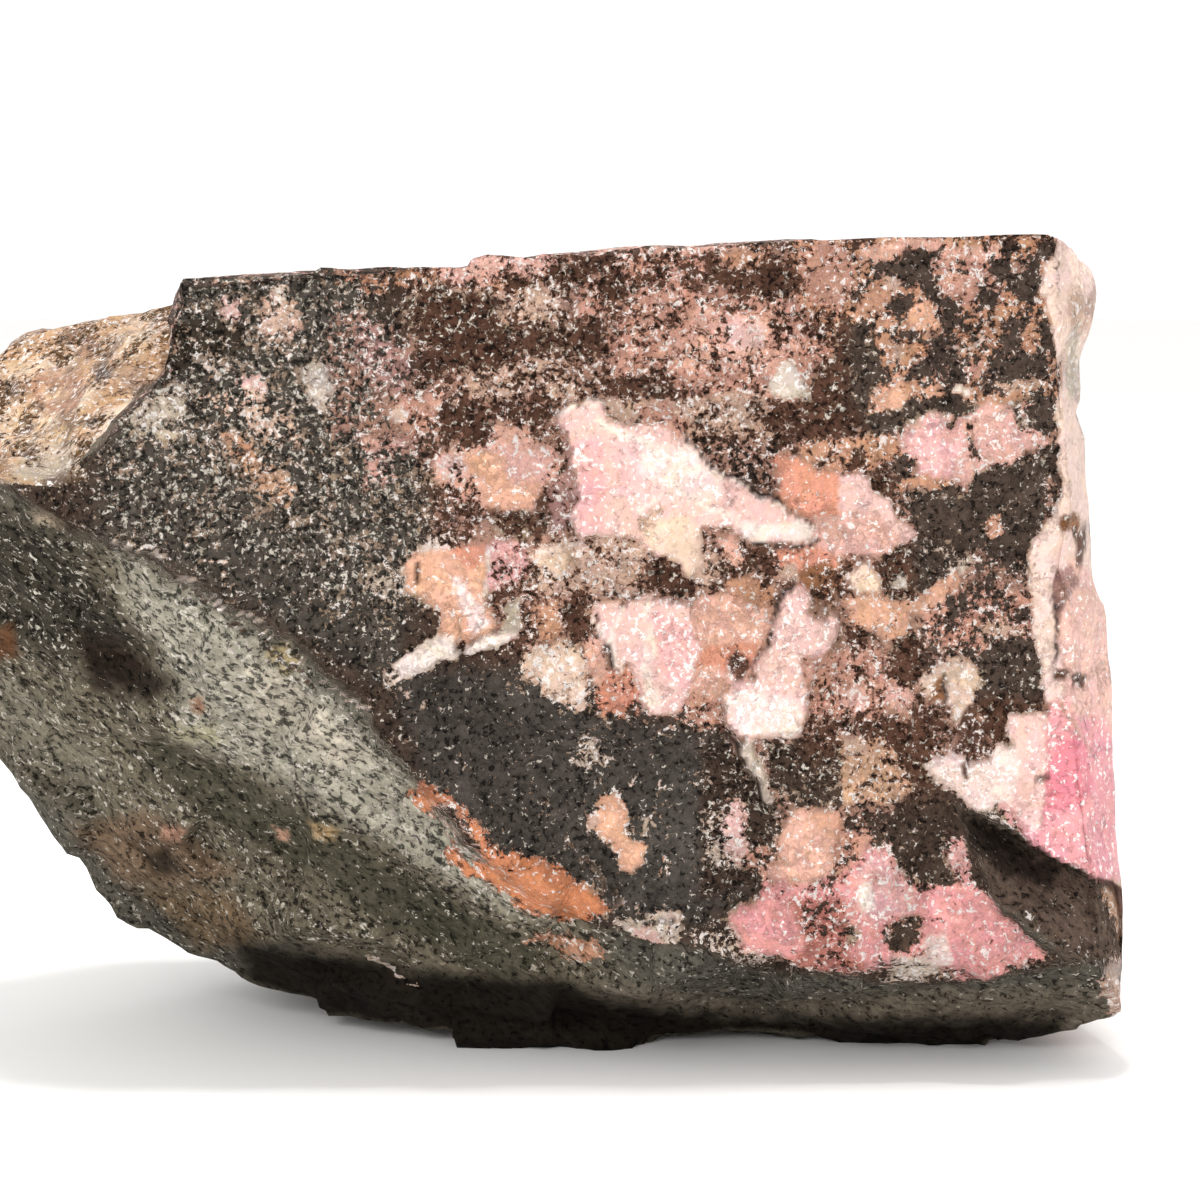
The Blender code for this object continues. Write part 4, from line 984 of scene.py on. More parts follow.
def meet_faces(rays, guesses, faces):
    """How far each ray runs to the nearest of the faces, gap / (ray . outward), and the
    way the surface faces there. Every face bulges a little by a random field."""
    middles = faces[:, :3]
    outward = faces[:, 3:] / np.linalg.norm(faces[:, 3:], axis=1, keepdims=True)
    gap = ((middles - CENTRE) * outward).sum(axis=1)
    wobble = np.stack([noise(guesses, WOBBLE_SIZE, WOBBLE_SEED + k)
                       for k in range(len(faces))], 1)
    slant = rays @ outward.T
    distance = (gap + FACE_WOBBLE * wobble) / np.maximum(slant, LEAST_SLANT)
    distance = np.where(slant > LEAST_SLANT, distance, FAR)
    reach, share = soft_nearest(distance)
    facing = share @ outward
    return reach, facing / np.linalg.norm(facing, axis=1, keepdims=True)


def line_distance(u, v, starts, ends):
    """Least distance from points of the chart to straight lines between the given
    starts and ends: to the nearest place on each, share = (point - start) . run / run^2."""
    distance = np.full(len(u), CHART_REACH)
    for (au, av), (bu, bv) in zip(starts, ends):
        run, rise = bu - au, bv - av
        share = np.clip(((u - au) * run + (v - av) * rise) / (run**2 + rise**2), 0.0, 1.0)
        distance = np.minimum(distance, np.hypot(u - au - share * run, v - av - share * rise))
    return distance


def near_corners(u, v, corners):
    """Which points of the chart are near enough to the given corners to matter."""
    low, high = corners.min(axis=0) - CHART_REACH, corners.max(axis=0) + CHART_REACH
    return (u > low[0]) & (u < high[0]) & (v > low[1]) & (v < high[1])


def outline_depth(u, v, outline):
    """Distance inside a closed outline, negative outside it: the least distance to any
    of its sides, signed by how many sides a line running to the right crosses."""
    corners = np.array(outline, float)
    ends = np.roll(corners, -1, axis=0)
    near = near_corners(u, v, corners)
    depth = np.full(len(u), -CHART_REACH)
    u, v = u[near], v[near]
    inside = np.zeros(len(u), bool)
    for (au, av), (bu, bv) in zip(corners, ends):
        run, rise = bu - au, bv - av
        crosses = (av > v) != (bv > v)
        inside ^= crosses & (u < au + (v - av) * run / (rise or TINY))
    distance = line_distance(u, v, corners, ends)
    depth[near] = np.where(inside, distance, -distance)
    return depth


def mark_cover(u, v, half_width, points):
    """How much of each point of the chart a thin mark covers, from 0 to 1."""
    corners = np.array(points, float)
    near = near_corners(u, v, corners)
    cover = np.zeros(len(u))
    distance = line_distance(u[near], v[near], corners[:-1], corners[1:])
    cover[near] = ease((half_width - distance) / MARK_EDGE + 0.5)
    return cover


def ease(value):
    """Rises from 0 to 1 as the value does, by 3t^2 - 2t^3."""
    value = np.clip(value, 0.0, 1.0)
    return value * value * (3.0 - 2.0 * value)


def grade(value, span):
    """Rises from 0 where the value is at the start of the span to 1 at its end, eased."""
    start, end = span
    return ease((value - start) / (end - start))


def below_line(points, line):
    """How far each point lies below a line drawn on the front, in x and z."""
    (ax, az), (bx, bz) = line
    run, rise = bx - ax, bz - az
    length = np.hypot(run, rise)
    return ((points[:, 0] - ax) * rise - (points[:, 2] - az) * run) / length


def chart(points):
    """Chart units right and down for points of the front, with wavering edges: the
    offsets from the eye across and down its line of sight, over the distance along it."""
    offset = points + REST_SHIFT - EYE
    ahead = offset[:, 1] * math.cos(EYE_TIP) - offset[:, 2] * math.sin(EYE_TIP)
    down = -offset[:, 1] * math.sin(EYE_TIP) - offset[:, 2] * math.cos(EYE_TIP)
    u = CHART_MIDDLE + CHART_AHEAD * offset[:, 0] / ahead
    v = CHART_MIDDLE + CHART_AHEAD * down / ahead
    for size, reach, seed in WAVERS:
        u = u + reach * noise(points, size, seed)
        v = v + reach * noise(points, size, seed + 1)
    return u, v


def front_relief(points, facing):
    """Movement of the front along Y: ore patches rise or sink with eased edges, and the
    groove's depth grows in a straight ramp from its lower lip to its upper lip."""
    towards_front = grade(-facing[:, 1], RELIEF_FORWARD)
    u, v = chart(points)
    height = np.zeros(len(points))
    for _, _, _, rise, soft, outline in ORE_PATCHES + ORE_ON_SCHIST:
        if rise:
            cover = ease(outline_depth(u, v, outline) / max(soft, LEAST_STEP) + 0.5)
            height += cover * (rise - height * (rise > 0) * STEP_REPLACES)
    for _, _, rise, half_width, line in MARKS:
        height += rise * mark_cover(u, v, half_width, line)
    for rise, soft, outline in FRONT_SWELLS:
        height += rise * ease(outline_depth(u, v, outline) / soft + 0.5)
    under = below_line(points, GROOVE_UPPER)
    over = -below_line(points, GROOVE_LOWER)
    within = (under > 0) & (over > 0) & (points[:, 0] > GROOVE_UPPER[0][0])
    ramp = over / np.maximum(over + under, TINY)
    run_in = ease((points[:, 0] - GROOVE_UPPER[0][0]) / GROOVE_RUN_IN)
    height -= np.where(within, GROOVE_DEPTH * ramp * run_in, 0.0)
    return towards_front[:, None] * height[:, None] * np.array([0.0, -1.0, 0.0])


def layered(points):
    """Points with their run along the layers of the slope shortened, so that a random
    field of them is drawn out into ridges."""
    length = points @ LAYER_RUN
    return points - (1.0 - LAYER_KEPT) * length[:, None] * LAYER_RUN


def roughness(points, facing):
    """Height of the broken surface: slow swells, layered ridges and flat chips on the
    slope and the back, and much less of each on the flat front, top and right end."""
    front = grade(-facing[:, 1], FLAT_FRONT)
    top = grade(facing[:, 2], FLAT_TOP)
    right = grade(facing[:, 0], FLAT_RIGHT)
    calm = 1.0 - CALM_ON_FLAT_FACES * np.maximum(np.maximum(front, top), right)
    height = sum(share * chips(points, size, seed) for share, size, seed in CHIPS)
    height += fields(points, SWELLS)
    slope = grade(-facing[:, 2], SLOPE_DOWN) * grade(-facing[:, 1], SLOPE_FORWARD)
    return calm * height + slope * fields(layered(points), RIDGES)


def lumps(points):
    """Height of the listed lumps and hollows, each rise * exp(-(d / reach)^2)."""
    height = np.zeros(len(points))
    for x, y, z, reach, rise in LUMPS:
        distance = np.linalg.norm(points - np.array([x, y, z]), axis=1)
        height += rise * np.exp(-((distance / reach) ** 2))
    return height


def kept_inside(points, low, high):
    """Points eased back inside a box: the last BOX_MARGIN of the way to a side is
    drawn out as side - margin * exp(-beyond / margin), which never reaches it."""
    beyond = np.maximum(points - (high - BOX_MARGIN), 0.0)
    points = points - beyond + BOX_MARGIN * (1.0 - np.exp(-beyond / BOX_MARGIN))
    beyond = np.maximum((low + BOX_MARGIN) - points, 0.0)
    return points + beyond - BOX_MARGIN * (1.0 - np.exp(-beyond / BOX_MARGIN))


def stone_surface(long_share, deep_share, tall_share):
    """Points of the stone's surface for points of the box grid, the way it faces there
    and whether it is the left lump: a ray from the centre runs to the nearest face of
    the body that reaches furthest, then moves by the relief."""
    guesses = grid_points(long_share, deep_share, tall_share)
    rays = guesses - CENTRE
    rays /= np.linalg.norm(rays, axis=1, keepdims=True)
    reach = np.zeros(len(rays))
    facing = np.zeros((len(rays), 3))
    on_lump = np.zeros(len(rays), bool)
    for own_faces in (BLOCK_FACES, FOOT_FACES, LUMP_FACES):
        faces = np.vstack([SHARED_FACES, own_faces])
        body_reach, body_facing = meet_faces(rays, guesses, faces)
        outer = body_reach > reach
        on_lump = np.where(outer, own_faces is LUMP_FACES, on_lump)
        facing = np.where(outer[:, None], body_facing, facing)
        reach = np.maximum(reach, body_reach)
    points = CENTRE + rays * reach[:, None]
    height = roughness(points, facing) + lumps(points)
    points = points + facing * height[:, None] + front_relief(points, facing)
    low, high = np.array(CAD_BOX) / MILLIMETRE - REST_SHIFT
    low[2] = -BOX_MARGIN
    points = kept_inside(points, low, high)
    points[:, 2] = np.maximum(points[:, 2], 0.0)
    return points, facing, on_lump


def sheet_faces(number):
    """Four-cornered faces between neighbouring points of a sheet of point numbers."""
    loop = [number[:-1, :-1], number[1:, :-1], number[1:, 1:], number[:-1, 1:]]
    return np.stack([part.ravel() for part in loop], 1)


def box_grid(cells, finer):
    """Closed box grid with shared edges, whose front is several times finer: for each
    point its shares along the three directions, and the faces, wound to face outwards.
    A face of the next row behind the front takes in the in-between points of its rim."""
    long_cells, deep_cells, tall_cells = cells
    fine = (finer * long_cells + 1, finer * tall_cells + 1)
    front = np.arange(fine[0] * fine[1]).reshape(fine)
    front_shares = np.argwhere(front >= 0) / (finer * long_cells, finer * tall_cells)
    front_shares = np.insert(front_shares, 1, 0.0, axis=1)

    rim = np.zeros((long_cells + 1, deep_cells + 1, tall_cells + 1), bool)
    rim[[0, -1]] = True
    rim[:, -1] = True
    rim[:, :, [0, -1]] = True
    rim[:, 0] = False
    number = np.full(rim.shape, -1)
    number[rim] = front.size + np.arange(rim.sum())
    shares = np.vstack([front_shares, np.argwhere(rim) / np.array(cells)])

    faces = sheet_faces(front).tolist() + sheet_faces(number[:, -1])[:, ::-1].tolist()
    for low, high in ((number[0, 1:], number[-1, 1:]), (number[:, 1:, 0], number[:, 1:, -1])):
        faces += sheet_faces(low)[:, ::-1].tolist() + sheet_faces(high).tolist()
    rows = ((front[0], number[0, 1], 1), (front[-1], number[-1, 1], -1),
            (front[:, 0], number[:, 1, 0], -1), (front[:, -1], number[:, 1, -1], 1))
    for fine_row, next_row, winding in rows:
        corners = [fine_row[step:-1:finer] for step in range(finer)]
        corners += [fine_row[finer::finer], next_row[1:], next_row[:-1]]
        faces += np.stack(corners, 1)[:, ::winding].tolist()
    return shares, faces


def linear(colour):
    """Linear red, green and blue for an sRGB hex colour."""
    parts = np.array([int(colour[k:k + 2], 16) / 255.0 for k in (0, 2, 4)])
    return np.where(parts <= 0.04045, parts / 12.92, ((parts + 0.055) / 1.055) ** 2.4)


def tinted(count, colour):
    """A row of the given length of one colour."""
    return np.tile(linear(colour), (count, 1))


def paint(values, value, share):
    """Mixes into a row of numbers or colours, by each point's share, a number, an sRGB
    hex colour or another row: values + share * (value - values)."""
    if isinstance(value, str):
        value = linear(value)
    if values.ndim == 2:
        share = share[:, None]
    values += share * (value - values)


def schist_depth(u, v):
    """Units below the line where the schist begins, or inside the groove."""
    line = np.array(SCHIST_LINE, float)
    below = v - np.interp(u, line[:, 0], line[:, 1])
    slant = np.interp(u, line[1:, 0], np.diff(line[:, 1]) / np.diff(line[:, 0]))
    return np.maximum(below / np.hypot(1.0, slant), outline_depth(u, v, GROOVE_AREA))


def front_minerals(points):
    """Minerals of the front, with some painted shade, shadows and highlights among them: patches of
    the chart laid one over another, each mixed in by ease(depth inside its outline / width of its
    edge + 1/2)."""
    count = len(points)
    u, v = chart(points)
    ore = np.full(count, BARE_ORE)
    frost = np.full(count, FRONT_FROST)
    tint = tinted(count, GREY_GRAIN)

    def lay(patches):
        for colour, level, frosting, _, soft, outline in patches:
            depth = outline_depth(u, v, outline)
            ragged = soft if level > SHEET_LEVEL else soft + RAGGED_EDGE
            cover = ease(depth / soft + 0.5)
            paint(tint, colour, ease(TINT_REACH * cover))
            paint(ore, level, ease(depth / ragged + 0.5))
            paint(frost, frosting, cover)

    def lay_ground(patches, ground, flecks):
        for colour, share, soft, outline in patches:
            cover = ease(outline_depth(u, v, outline) / soft + 0.5)
            paint(ground, colour, cover)
            paint(flecks, share, cover)

    lay(ORE_PATCHES)
    ground = tinted(count, FRONT_OXIDE)
    flecks = np.full(count, FRONT_FLECKS)
    lay_ground(GROUND_PATCHES, ground, flecks)
    ground *= OXIDE_WARMTH
    schist = ease(schist_depth(u, v) / SCHIST_EDGE + 0.5)
    schist_ground = tinted(count, FRONT_SCHIST)
    schist_flecks = np.full(count, SCHIST_FLECKS)
    lay_ground(SCHIST_PATCHES, schist_ground, schist_flecks)
    paint(ground, schist_ground, schist)
    paint(flecks, schist_flecks, schist)
    paint(ore, SCHIST_ORE, schist)
    lay(ORE_ON_SCHIST)
    # Marks last: painted highlights and glints, and cracks and sheet edges darkened by painted
    # shade.
    for colour, level, _, half_width, line in MARKS:
        cover = mark_cover(u, v, half_width, line)
        paint(tint, colour, cover)
        paint(ore, level, cover)
        paint(frost, 0.0, cover)
    return {"ore": ore, "frost": frost, "flecks": flecks, "layers": schist,
            "tint": tint, "ground": ground}


def body_minerals(points, facing):
    """Minerals where the chart does not reach: patches of ore in the dark oxide from random fields,
    schist over the lower left, darkened by painted shade where it faces down under the stone, and
    pale ore down the right end."""
    count = len(points)
    ore = field(points, "ore")
    hue = field(points, "hue")
    tint = tinted(count, BROWN_PINK)
    for colour, span in BODY_TINTS:
        paint(tint, colour, grade(hue, span))
    ground = tinted(count, BODY_OXIDE)
    paint(ground, BODY_OXIDE_BROWN, ease(field(points, "oxide")))
    flecks = field(points, "flecks")
    frost = np.full(count, BODY_FROST)

    low = grade(points[:, 2] - field(points, "low edge"), LOW_SCHIST)
    low *= grade(-facing[:, 2], SCHIST_DOWN)
    left = grade(points[:, 0] - field(points, "left edge"), LEFT_SCHIST)
    schist = np.maximum(low, left)
    paint(flecks, UNDER_FLECKS, low)
    schist_ground = tinted(count, BODY_SCHIST)
    paint(schist_ground, BODY_SCHIST_PALE, ease(field(points, "pale schist")))
    paint(schist_ground, BODY_SCHIST_OLIVE, ease(field(points, "olive schist")))
    # Painted shade on the underside: the schist ground is darkened where the surface faces down.
    stain = grade(-facing[:, 2], UNDERSIDE_SHADE_DOWN)
    paint(schist_ground, BODY_SCHIST_UNDERSIDE_SHADE, UNDERSIDE_SHADE_COVER * stain)
    paint(ground, schist_ground, schist)
    paint(ore, SCHIST_ORE, schist)

    end = grade(points[:, 0], PALE_END_RIGHT) * grade(points[:, 2], PALE_END_UP)
    pale_end = end * ease(field(points, "pale end"))
    paint(tint, PALE_PINK, pale_end)
    paint(ore, PALE_END_ORE, pale_end)
    paint(frost, PALE_END_FROST, pale_end)
    return {"ore": ore, "frost": frost, "flecks": flecks, "layers": schist,
            "tint": tint, "ground": ground}


def lay_tan(points, facing, on_lump, values):
    """Lays the tan face of the left lump over the mineral values: where the lump's surface is high
    up and faces up, with its own patches, painted shade in its shadier parts and hollows, and
    painted highlights on its crests."""
    height = points[:, 2] - field(points, "tan edge")
    tan = on_lump * grade(height, TAN_HIGH) * grade(facing[:, 2], TAN_UP)
    tint = tinted(len(points), TAN_STONE)
    paint(tint, TAN_SHADE, TAN_SHADE_COVER * ease(field(points, "tan shade")))
    u, v = chart(points)
    seen = grade(-facing[:, 1], TAN_FORWARD)
    for colour, soft, outline in TAN_PATCHES:
        paint(tint, colour, seen * ease(outline_depth(u, v, outline) / soft + 0.5))
    # Painted shade in the hollows and painted highlights on the crests, both from random fields.
    paint(tint, TAN_HOLLOW_SHADE, TAN_HOLLOW_SHADE_COVER * ease(field(points, "tan hollow shade")))
    paint(tint, TAN_CREST_HIGHLIGHT, TAN_CREST_HIGHLIGHT_COVER * ease(field(points, "tan crest highlights")))
    paint(values["tint"], tint, tan)
    paint(values["ore"], field(points, "tan ore"), ease(TAN_ORE_SPEED * tan))
    paint(values["frost"], TAN_FROST, tan)
    paint(values["flecks"], TAN_FLECKS, tan)
    paint(values["ground"], TAN_GROUND, tan)
    paint(values["layers"], 0.0, tan)


def minerals(points, facing, on_lump):
    """The mineral attributes of every point, with painted shade and painted highlights among them:
    the random fields of the body, with the front's chart where the surface faces forwards and some
    way round the right corner, and the tan face of the left lump on top."""
    values = body_minerals(points, facing)
    depth = points[:, 1] + field(points, "corner")
    round_corner = grade(depth, CORNER_CHART) * grade(points[:, 0], CORNER_RIGHT)
    share = np.maximum(grade(-facing[:, 1], CHART_FORWARD), round_corner)
    for name, value in front_minerals(points).items():
        paint(values[name], value, share)
    lay_tan(points, facing, on_lump, values)
    return values


def put_attributes(mesh, values):
    """Stores each row of numbers as a point attribute, and each row of colours as one."""
    for name, value in values.items():
        colour = value.ndim == 2
        kind = "FLOAT_COLOR" if colour else "FLOAT"
        attribute = mesh.attributes.new(name, kind, "POINT")
        if colour:
            value = np.concatenate([value, np.ones((len(value), 1))], 1)
        attribute.data.foreach_set("color" if colour else "value", value.ravel())


def build_stone():
    """The whole surface of the stone as one mesh, riding and replacing its solid."""
    shares, faces = box_grid(CELLS, FRONT_FINER)
    long_share, deep_share, tall_share = shares.T
    points, facing, on_lump = stone_surface(long_share, deep_share**FRONT_CROWDING,
                                            tall_share)
    mesh = bpy.data.meshes.new("stone_surface")
    mesh.from_pydata((points + REST_SHIFT) * MILLIMETRE, [], faces)
    mesh.shade_smooth()
    put_attributes(mesh, minerals(points, facing, on_lump))
    stone = bpy.data.objects.new("stone_surface", mesh)
    bpy.context.scene.collection.objects.link(stone)
    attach(stone, "root")
    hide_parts(NODE)
    return stone


# ------------------------------------------------------------------------ materials

# Sizes across in mm of the pattern's random fields and of its cleavage facets.
CLUMP_SIZE = 2.6
GRAIN_SIZE = 0.62
GRIT_SIZE = 1.2
FACET_SIZE = 4.0

# How far clumps and grains range each way, how far the edges of the facets waver with
# the clumps, and the height of the bump, both in mm.
CLUMP_RANGE = 2.5
GRAIN_RANGE = 3.5
FACET_WAVER = 0.7
BUMP_HEIGHT = 1.1

# The share of the run along the layers taken off for clumps, and for grains.
CLUMP_SQUEEZE = 0.7
GRAIN_SQUEEZE = 0.3

# Ranges of the pattern, as a Map Range node takes them: what goes in runs from 1 to 2, and what
# comes out from 3 to 4. These say where ore begins, is pure and is clean of stain, and where
# flecks, white chips and painted glints, and pits darkened by painted shade begin, with fewer pits
# among few flecks.
ORE_EDGE = {1: -0.05, 2: 0.06, 3: 0.0, 4: 1.0}
PURE_ORE = {1: 0.5, 2: 2.1, 3: 0.0, 4: 1.0}
CLEAN_ORE = {1: 0.0, 2: 0.8, 3: 0.0, 4: 1.0}
FLECK_EDGE = {1: 1.2, 2: 1.34, 3: 0.0, 4: 1.0}
CHIP_EDGE = {1: 0.94, 2: 1.10, 3: 0.0, 4: 0.88}
PIT_EDGE = {1: -0.44, 2: -0.3, 3: 0.26, 4: 1.0}
FEWER_PITS = {1: 0.1, 2: 0.45, 3: 0.3, 4: 0.0}

# Tones from dark to light, of the ground, the flecks and the facets, the painted shade of the
# hollows, the cast of the ore from warm to cool, and how cloudy it is, less the purer it is.
GROUND_TONE = {1: -1.1, 2: 1.1, 3: 0.42, 4: 1.9}
FLECK_TONE = {1: -0.7, 2: 0.5, 3: 0.0, 4: 1.0}
FACET_TONE = {1: 0.0, 2: 1.0, 3: 0.76, 4: 0.94}
CAVITY_SHADE = {1: 0.32, 2: 0.54, 3: 0.62, 4: 1.05}
WARM_TO_COOL = {1: -0.6, 2: 0.6, 3: 0.0, 4: 1.0}
CLOUDINESS = {1: 0.0, 2: 2.2, 3: 0.42, 4: 0.10}

# Finish from the oxide to the ore, and how much of the grit is left in pure ore.
ROUGHNESS = {1: 0.0, 2: 1.0, 3: 0.75, 4: 0.42}
SHINE = {1: 0.0, 2: 1.0, 3: 0.06, 4: 0.35}
GRIT_LEFT = {1: 0.0, 2: 1.0, 3: 1.0, 4: 0.4}

# How much grains count beside clumps, in the level of the ore, the tone of the ground
# and the clouds of the ore.
GRAINS_IN_ORE = 0.75
GRAINS_IN_GROUND = 0.45
GRAINS_IN_CLOUDS = 0.6

# How much the share of flecks, the frost and the level of the ore count beside grains, where
# flecks, white chips and painted glints, and pits darkened by painted shade are placed. Impure ore
# has frost of its own, and flecks have a share of the ore's colour.
FLECKS_WEIGHT = 1.6
FROST_WEIGHT = 0.72
LEVEL_WEIGHT = 0.75
IMPURE_FROST = 0.79
TINT_IN_FLECKS = 0.3

# Shares of the bump: how deep the pits are, how proud the ore stands, and the steps
# between its facets.
PIT_STEP = 0.16
ORE_STEP = 0.12
FACET_STEP = 0.3

# Flecks from grey to pale, ore from warm to cool, brown stain next to the oxide, white chips and
# painted glints on the ore, and the paper of the floor.
FLECK_GREY = "8d8373"
FLECK_PALE = "f4eee3"
WARM_CAST = "fff4e4"
COOL_CAST = "fdf0f2"
STAIN_CAST = "cbae9f"
CHIP_AND_GLINT_WHITE = "fcf3ee"
PAPER_WHITE = "f4f3f1"

# Optical index of rhodonite is about 1.73, and the broken surface is duller than that.
# The paper is matt.
STONE_IOR = 1.55
PAPER_ROUGHNESS = 0.9
PAPER_SHINE = 0.1


def add(tree, kind, settings, links):
    """Adds a node with its settings, and its inputs as numbers or as other outputs."""
    new = tree.nodes.new(kind)
    for name, value in settings.items():
        setattr(new, name, value)
    for name, source in links.items():
        if isinstance(source, bpy.types.NodeSocket):
            tree.links.new(source, new.inputs[name])
        else:
            new.inputs[name].default_value = source
    return new.outputs


def per_metre(millimetres):
    """Scale of a pattern whose cells are the given number of millimetres across."""
    return 1000.0 / millimetres


def rgba(colour):
    """Linear colour with full alpha for a node's socket."""
    return (*linear(colour), 1.0)


def rhodonite():
    """Rough rhodonite: glassy pink silicate crystals cut through by dull black oxide,
    with grey-green schist along one side, all as broken. The pink is a little glossy
    and slightly uneven, the oxide dull and peppered, and the schist drawn out in layers.
    """
    # Pits and the hollows of the grit are darkened as painted shade, and some grains are whitened
    # as painted glints.
    material = bpy.data.materials.new("rough_rhodonite")
    material.use_nodes = True
    tree = material.node_tree
    surface = tree.nodes["Principled BSDF"]
    place = add(tree, "ShaderNodeTexCoord", {}, {})["Object"]
    read = {name: add(tree, "ShaderNodeAttribute", {"attribute_name": name}, {})
            for name in ("ore", "frost", "flecks", "layers", "tint", "ground")}

    # Schist is in layers: there the place is squeezed along the run of the layers, much
    # for the clumps, which become long streaks, and a little for the grains.
    run = tuple(LAYER_RUN)
    reach = add(tree, "ShaderNodeVectorMath", {"operation": "DOT_PRODUCT"}, {
        0: place, 1: run})
    squeeze = add(tree, "ShaderNodeMath", {"operation": "MULTIPLY"}, {
        0: reach["Value"], 1: read["layers"]["Fac"]})
    streaks = add(tree, "ShaderNodeVectorMath", {"operation": "SCALE"}, {
        0: run, "Scale": squeeze[0]})
    streaked = add(tree, "ShaderNodeVectorMath", {"operation": "MULTIPLY_ADD"}, {
        0: streaks[0], 1: 3 * (-CLUMP_SQUEEZE,), 2: place})
    grained = add(tree, "ShaderNodeVectorMath", {"operation": "MULTIPLY_ADD"}, {
        0: streaks[0], 1: 3 * (-GRAIN_SQUEEZE,), 2: place})

    # Two random fields of three channels each, clumps and much finer curled grains.
    # Each channel is centred on nothing and lies mostly within 1 of it.
    clump_noise = add(tree, "ShaderNodeTexNoise", {}, {
        "Vector": streaked[0], "Scale": per_metre(CLUMP_SIZE), "Detail": 6.0,
        "Roughness": 0.75, "Distortion": 0.6})
    clump_centred = add(tree, "ShaderNodeVectorMath", {"operation": "MULTIPLY_ADD"}, {
        0: clump_noise["Color"], 1: 3 * (2 * CLUMP_RANGE,), 2: 3 * (-CLUMP_RANGE,)})
    clump = add(tree, "ShaderNodeSeparateXYZ", {}, {0: clump_centred[0]})
    grain_noise = add(tree, "ShaderNodeTexNoise", {}, {
        "Vector": grained[0], "Scale": per_metre(GRAIN_SIZE), "Detail": 4.0,
        "Roughness": 0.68, "Distortion": 0.4})
    grain_centred = add(tree, "ShaderNodeVectorMath", {"operation": "MULTIPLY_ADD"}, {
        0: grain_noise["Color"], 1: 3 * (2 * GRAIN_RANGE,), 2: 3 * (-GRAIN_RANGE,)})
    grain = add(tree, "ShaderNodeSeparateXYZ", {}, {0: grain_centred[0]})

    # Ore or oxide: the level, with clumps and grains added, is above nothing in ore.
    spread = add(tree, "ShaderNodeMath", {"operation": "MULTIPLY_ADD"}, {
        0: grain["X"], 1: GRAINS_IN_ORE, 2: clump["X"]})
    level = add(tree, "ShaderNodeMath", {"operation": "ADD"}, {
        0: spread[0], 1: read["ore"]["Fac"]})
    is_ore = add(tree, "ShaderNodeMapRange", {}, {
        0: level[0], **ORE_EDGE})
    pure = add(tree, "ShaderNodeMapRange", {}, {
        0: level[0], **PURE_ORE})

    # Ground: cloudy from clump to clump and a little from grain to grain.
    tone = add(tree, "ShaderNodeMath", {"operation": "MULTIPLY_ADD"}, {
        0: grain["Y"], 1: GRAINS_IN_GROUND, 2: clump["Y"]})
    shade = add(tree, "ShaderNodeMapRange", {}, {
        0: tone[0], **GROUND_TONE})
    ground = add(tree, "ShaderNodeVectorMath", {"operation": "SCALE"}, {
        0: read["ground"]["Color"], "Scale": shade[0]})

    # Pale flecks in the ground: curled grains of feldspar and quartz.
    fleck_depth = add(tree, "ShaderNodeMath", {"operation": "MULTIPLY_ADD"}, {
        0: read["flecks"]["Fac"], 1: FLECKS_WEIGHT, 2: grain["Z"]})
    is_fleck = add(tree, "ShaderNodeMapRange", {}, {
        0: fleck_depth[0], **FLECK_EDGE})
    fleck_tone = add(tree, "ShaderNodeMapRange", {}, {
        0: clump["Z"], **FLECK_TONE})
    fleck_grey = add(tree, "ShaderNodeMix", {"data_type": "RGBA"}, {
        0: fleck_tone[0], 6: rgba(FLECK_GREY), 7: rgba(FLECK_PALE)})
    fleck_colour = add(tree, "ShaderNodeMix", {"data_type": "RGBA"}, {
        0: TINT_IN_FLECKS, 6: fleck_grey[2], 7: read["tint"]["Color"]})
    flecked = add(tree, "ShaderNodeMix", {"data_type": "RGBA"}, {
        0: is_fleck[0], 6: ground[0], 7: fleck_colour[2]})

    # Ore: warmer and cooler from clump to clump, stained brown next to the oxide, and
    # cloudier where it thins out.
    hue = add(tree, "ShaderNodeMapRange", {}, {
        0: clump["Z"], **WARM_TO_COOL})
    hue_shift = add(tree, "ShaderNodeMix", {"data_type": "RGBA"}, {
        0: hue[0], 6: rgba(WARM_CAST), 7: rgba(COOL_CAST)})
    clean = add(tree, "ShaderNodeMapRange", {}, {
        0: level[0], **CLEAN_ORE})
    stain = add(tree, "ShaderNodeMix", {"data_type": "RGBA"}, {
        0: clean[0], 6: rgba(STAIN_CAST), 7: hue_shift[2]})
    hued = add(tree, "ShaderNodeMix", {"data_type": "RGBA", "blend_type": "MULTIPLY"}, {
        0: 1.0, 6: read["tint"]["Color"], 7: stain[2]})
    unevenness = add(tree, "ShaderNodeMapRange", {}, {
        0: level[0], **CLOUDINESS})
    cloud = add(tree, "ShaderNodeMath", {"operation": "MULTIPLY_ADD"}, {
        0: grain["Z"], 1: GRAINS_IN_CLOUDS, 2: clump["Y"]})
    tone_shift = add(tree, "ShaderNodeMath", {"operation": "MULTIPLY_ADD"}, {
        0: cloud[0], 1: unevenness[0], 2: 1.0})
    cloudy = add(tree, "ShaderNodeVectorMath", {"operation": "SCALE"}, {
        0: hued[2], "Scale": tone_shift[0]})

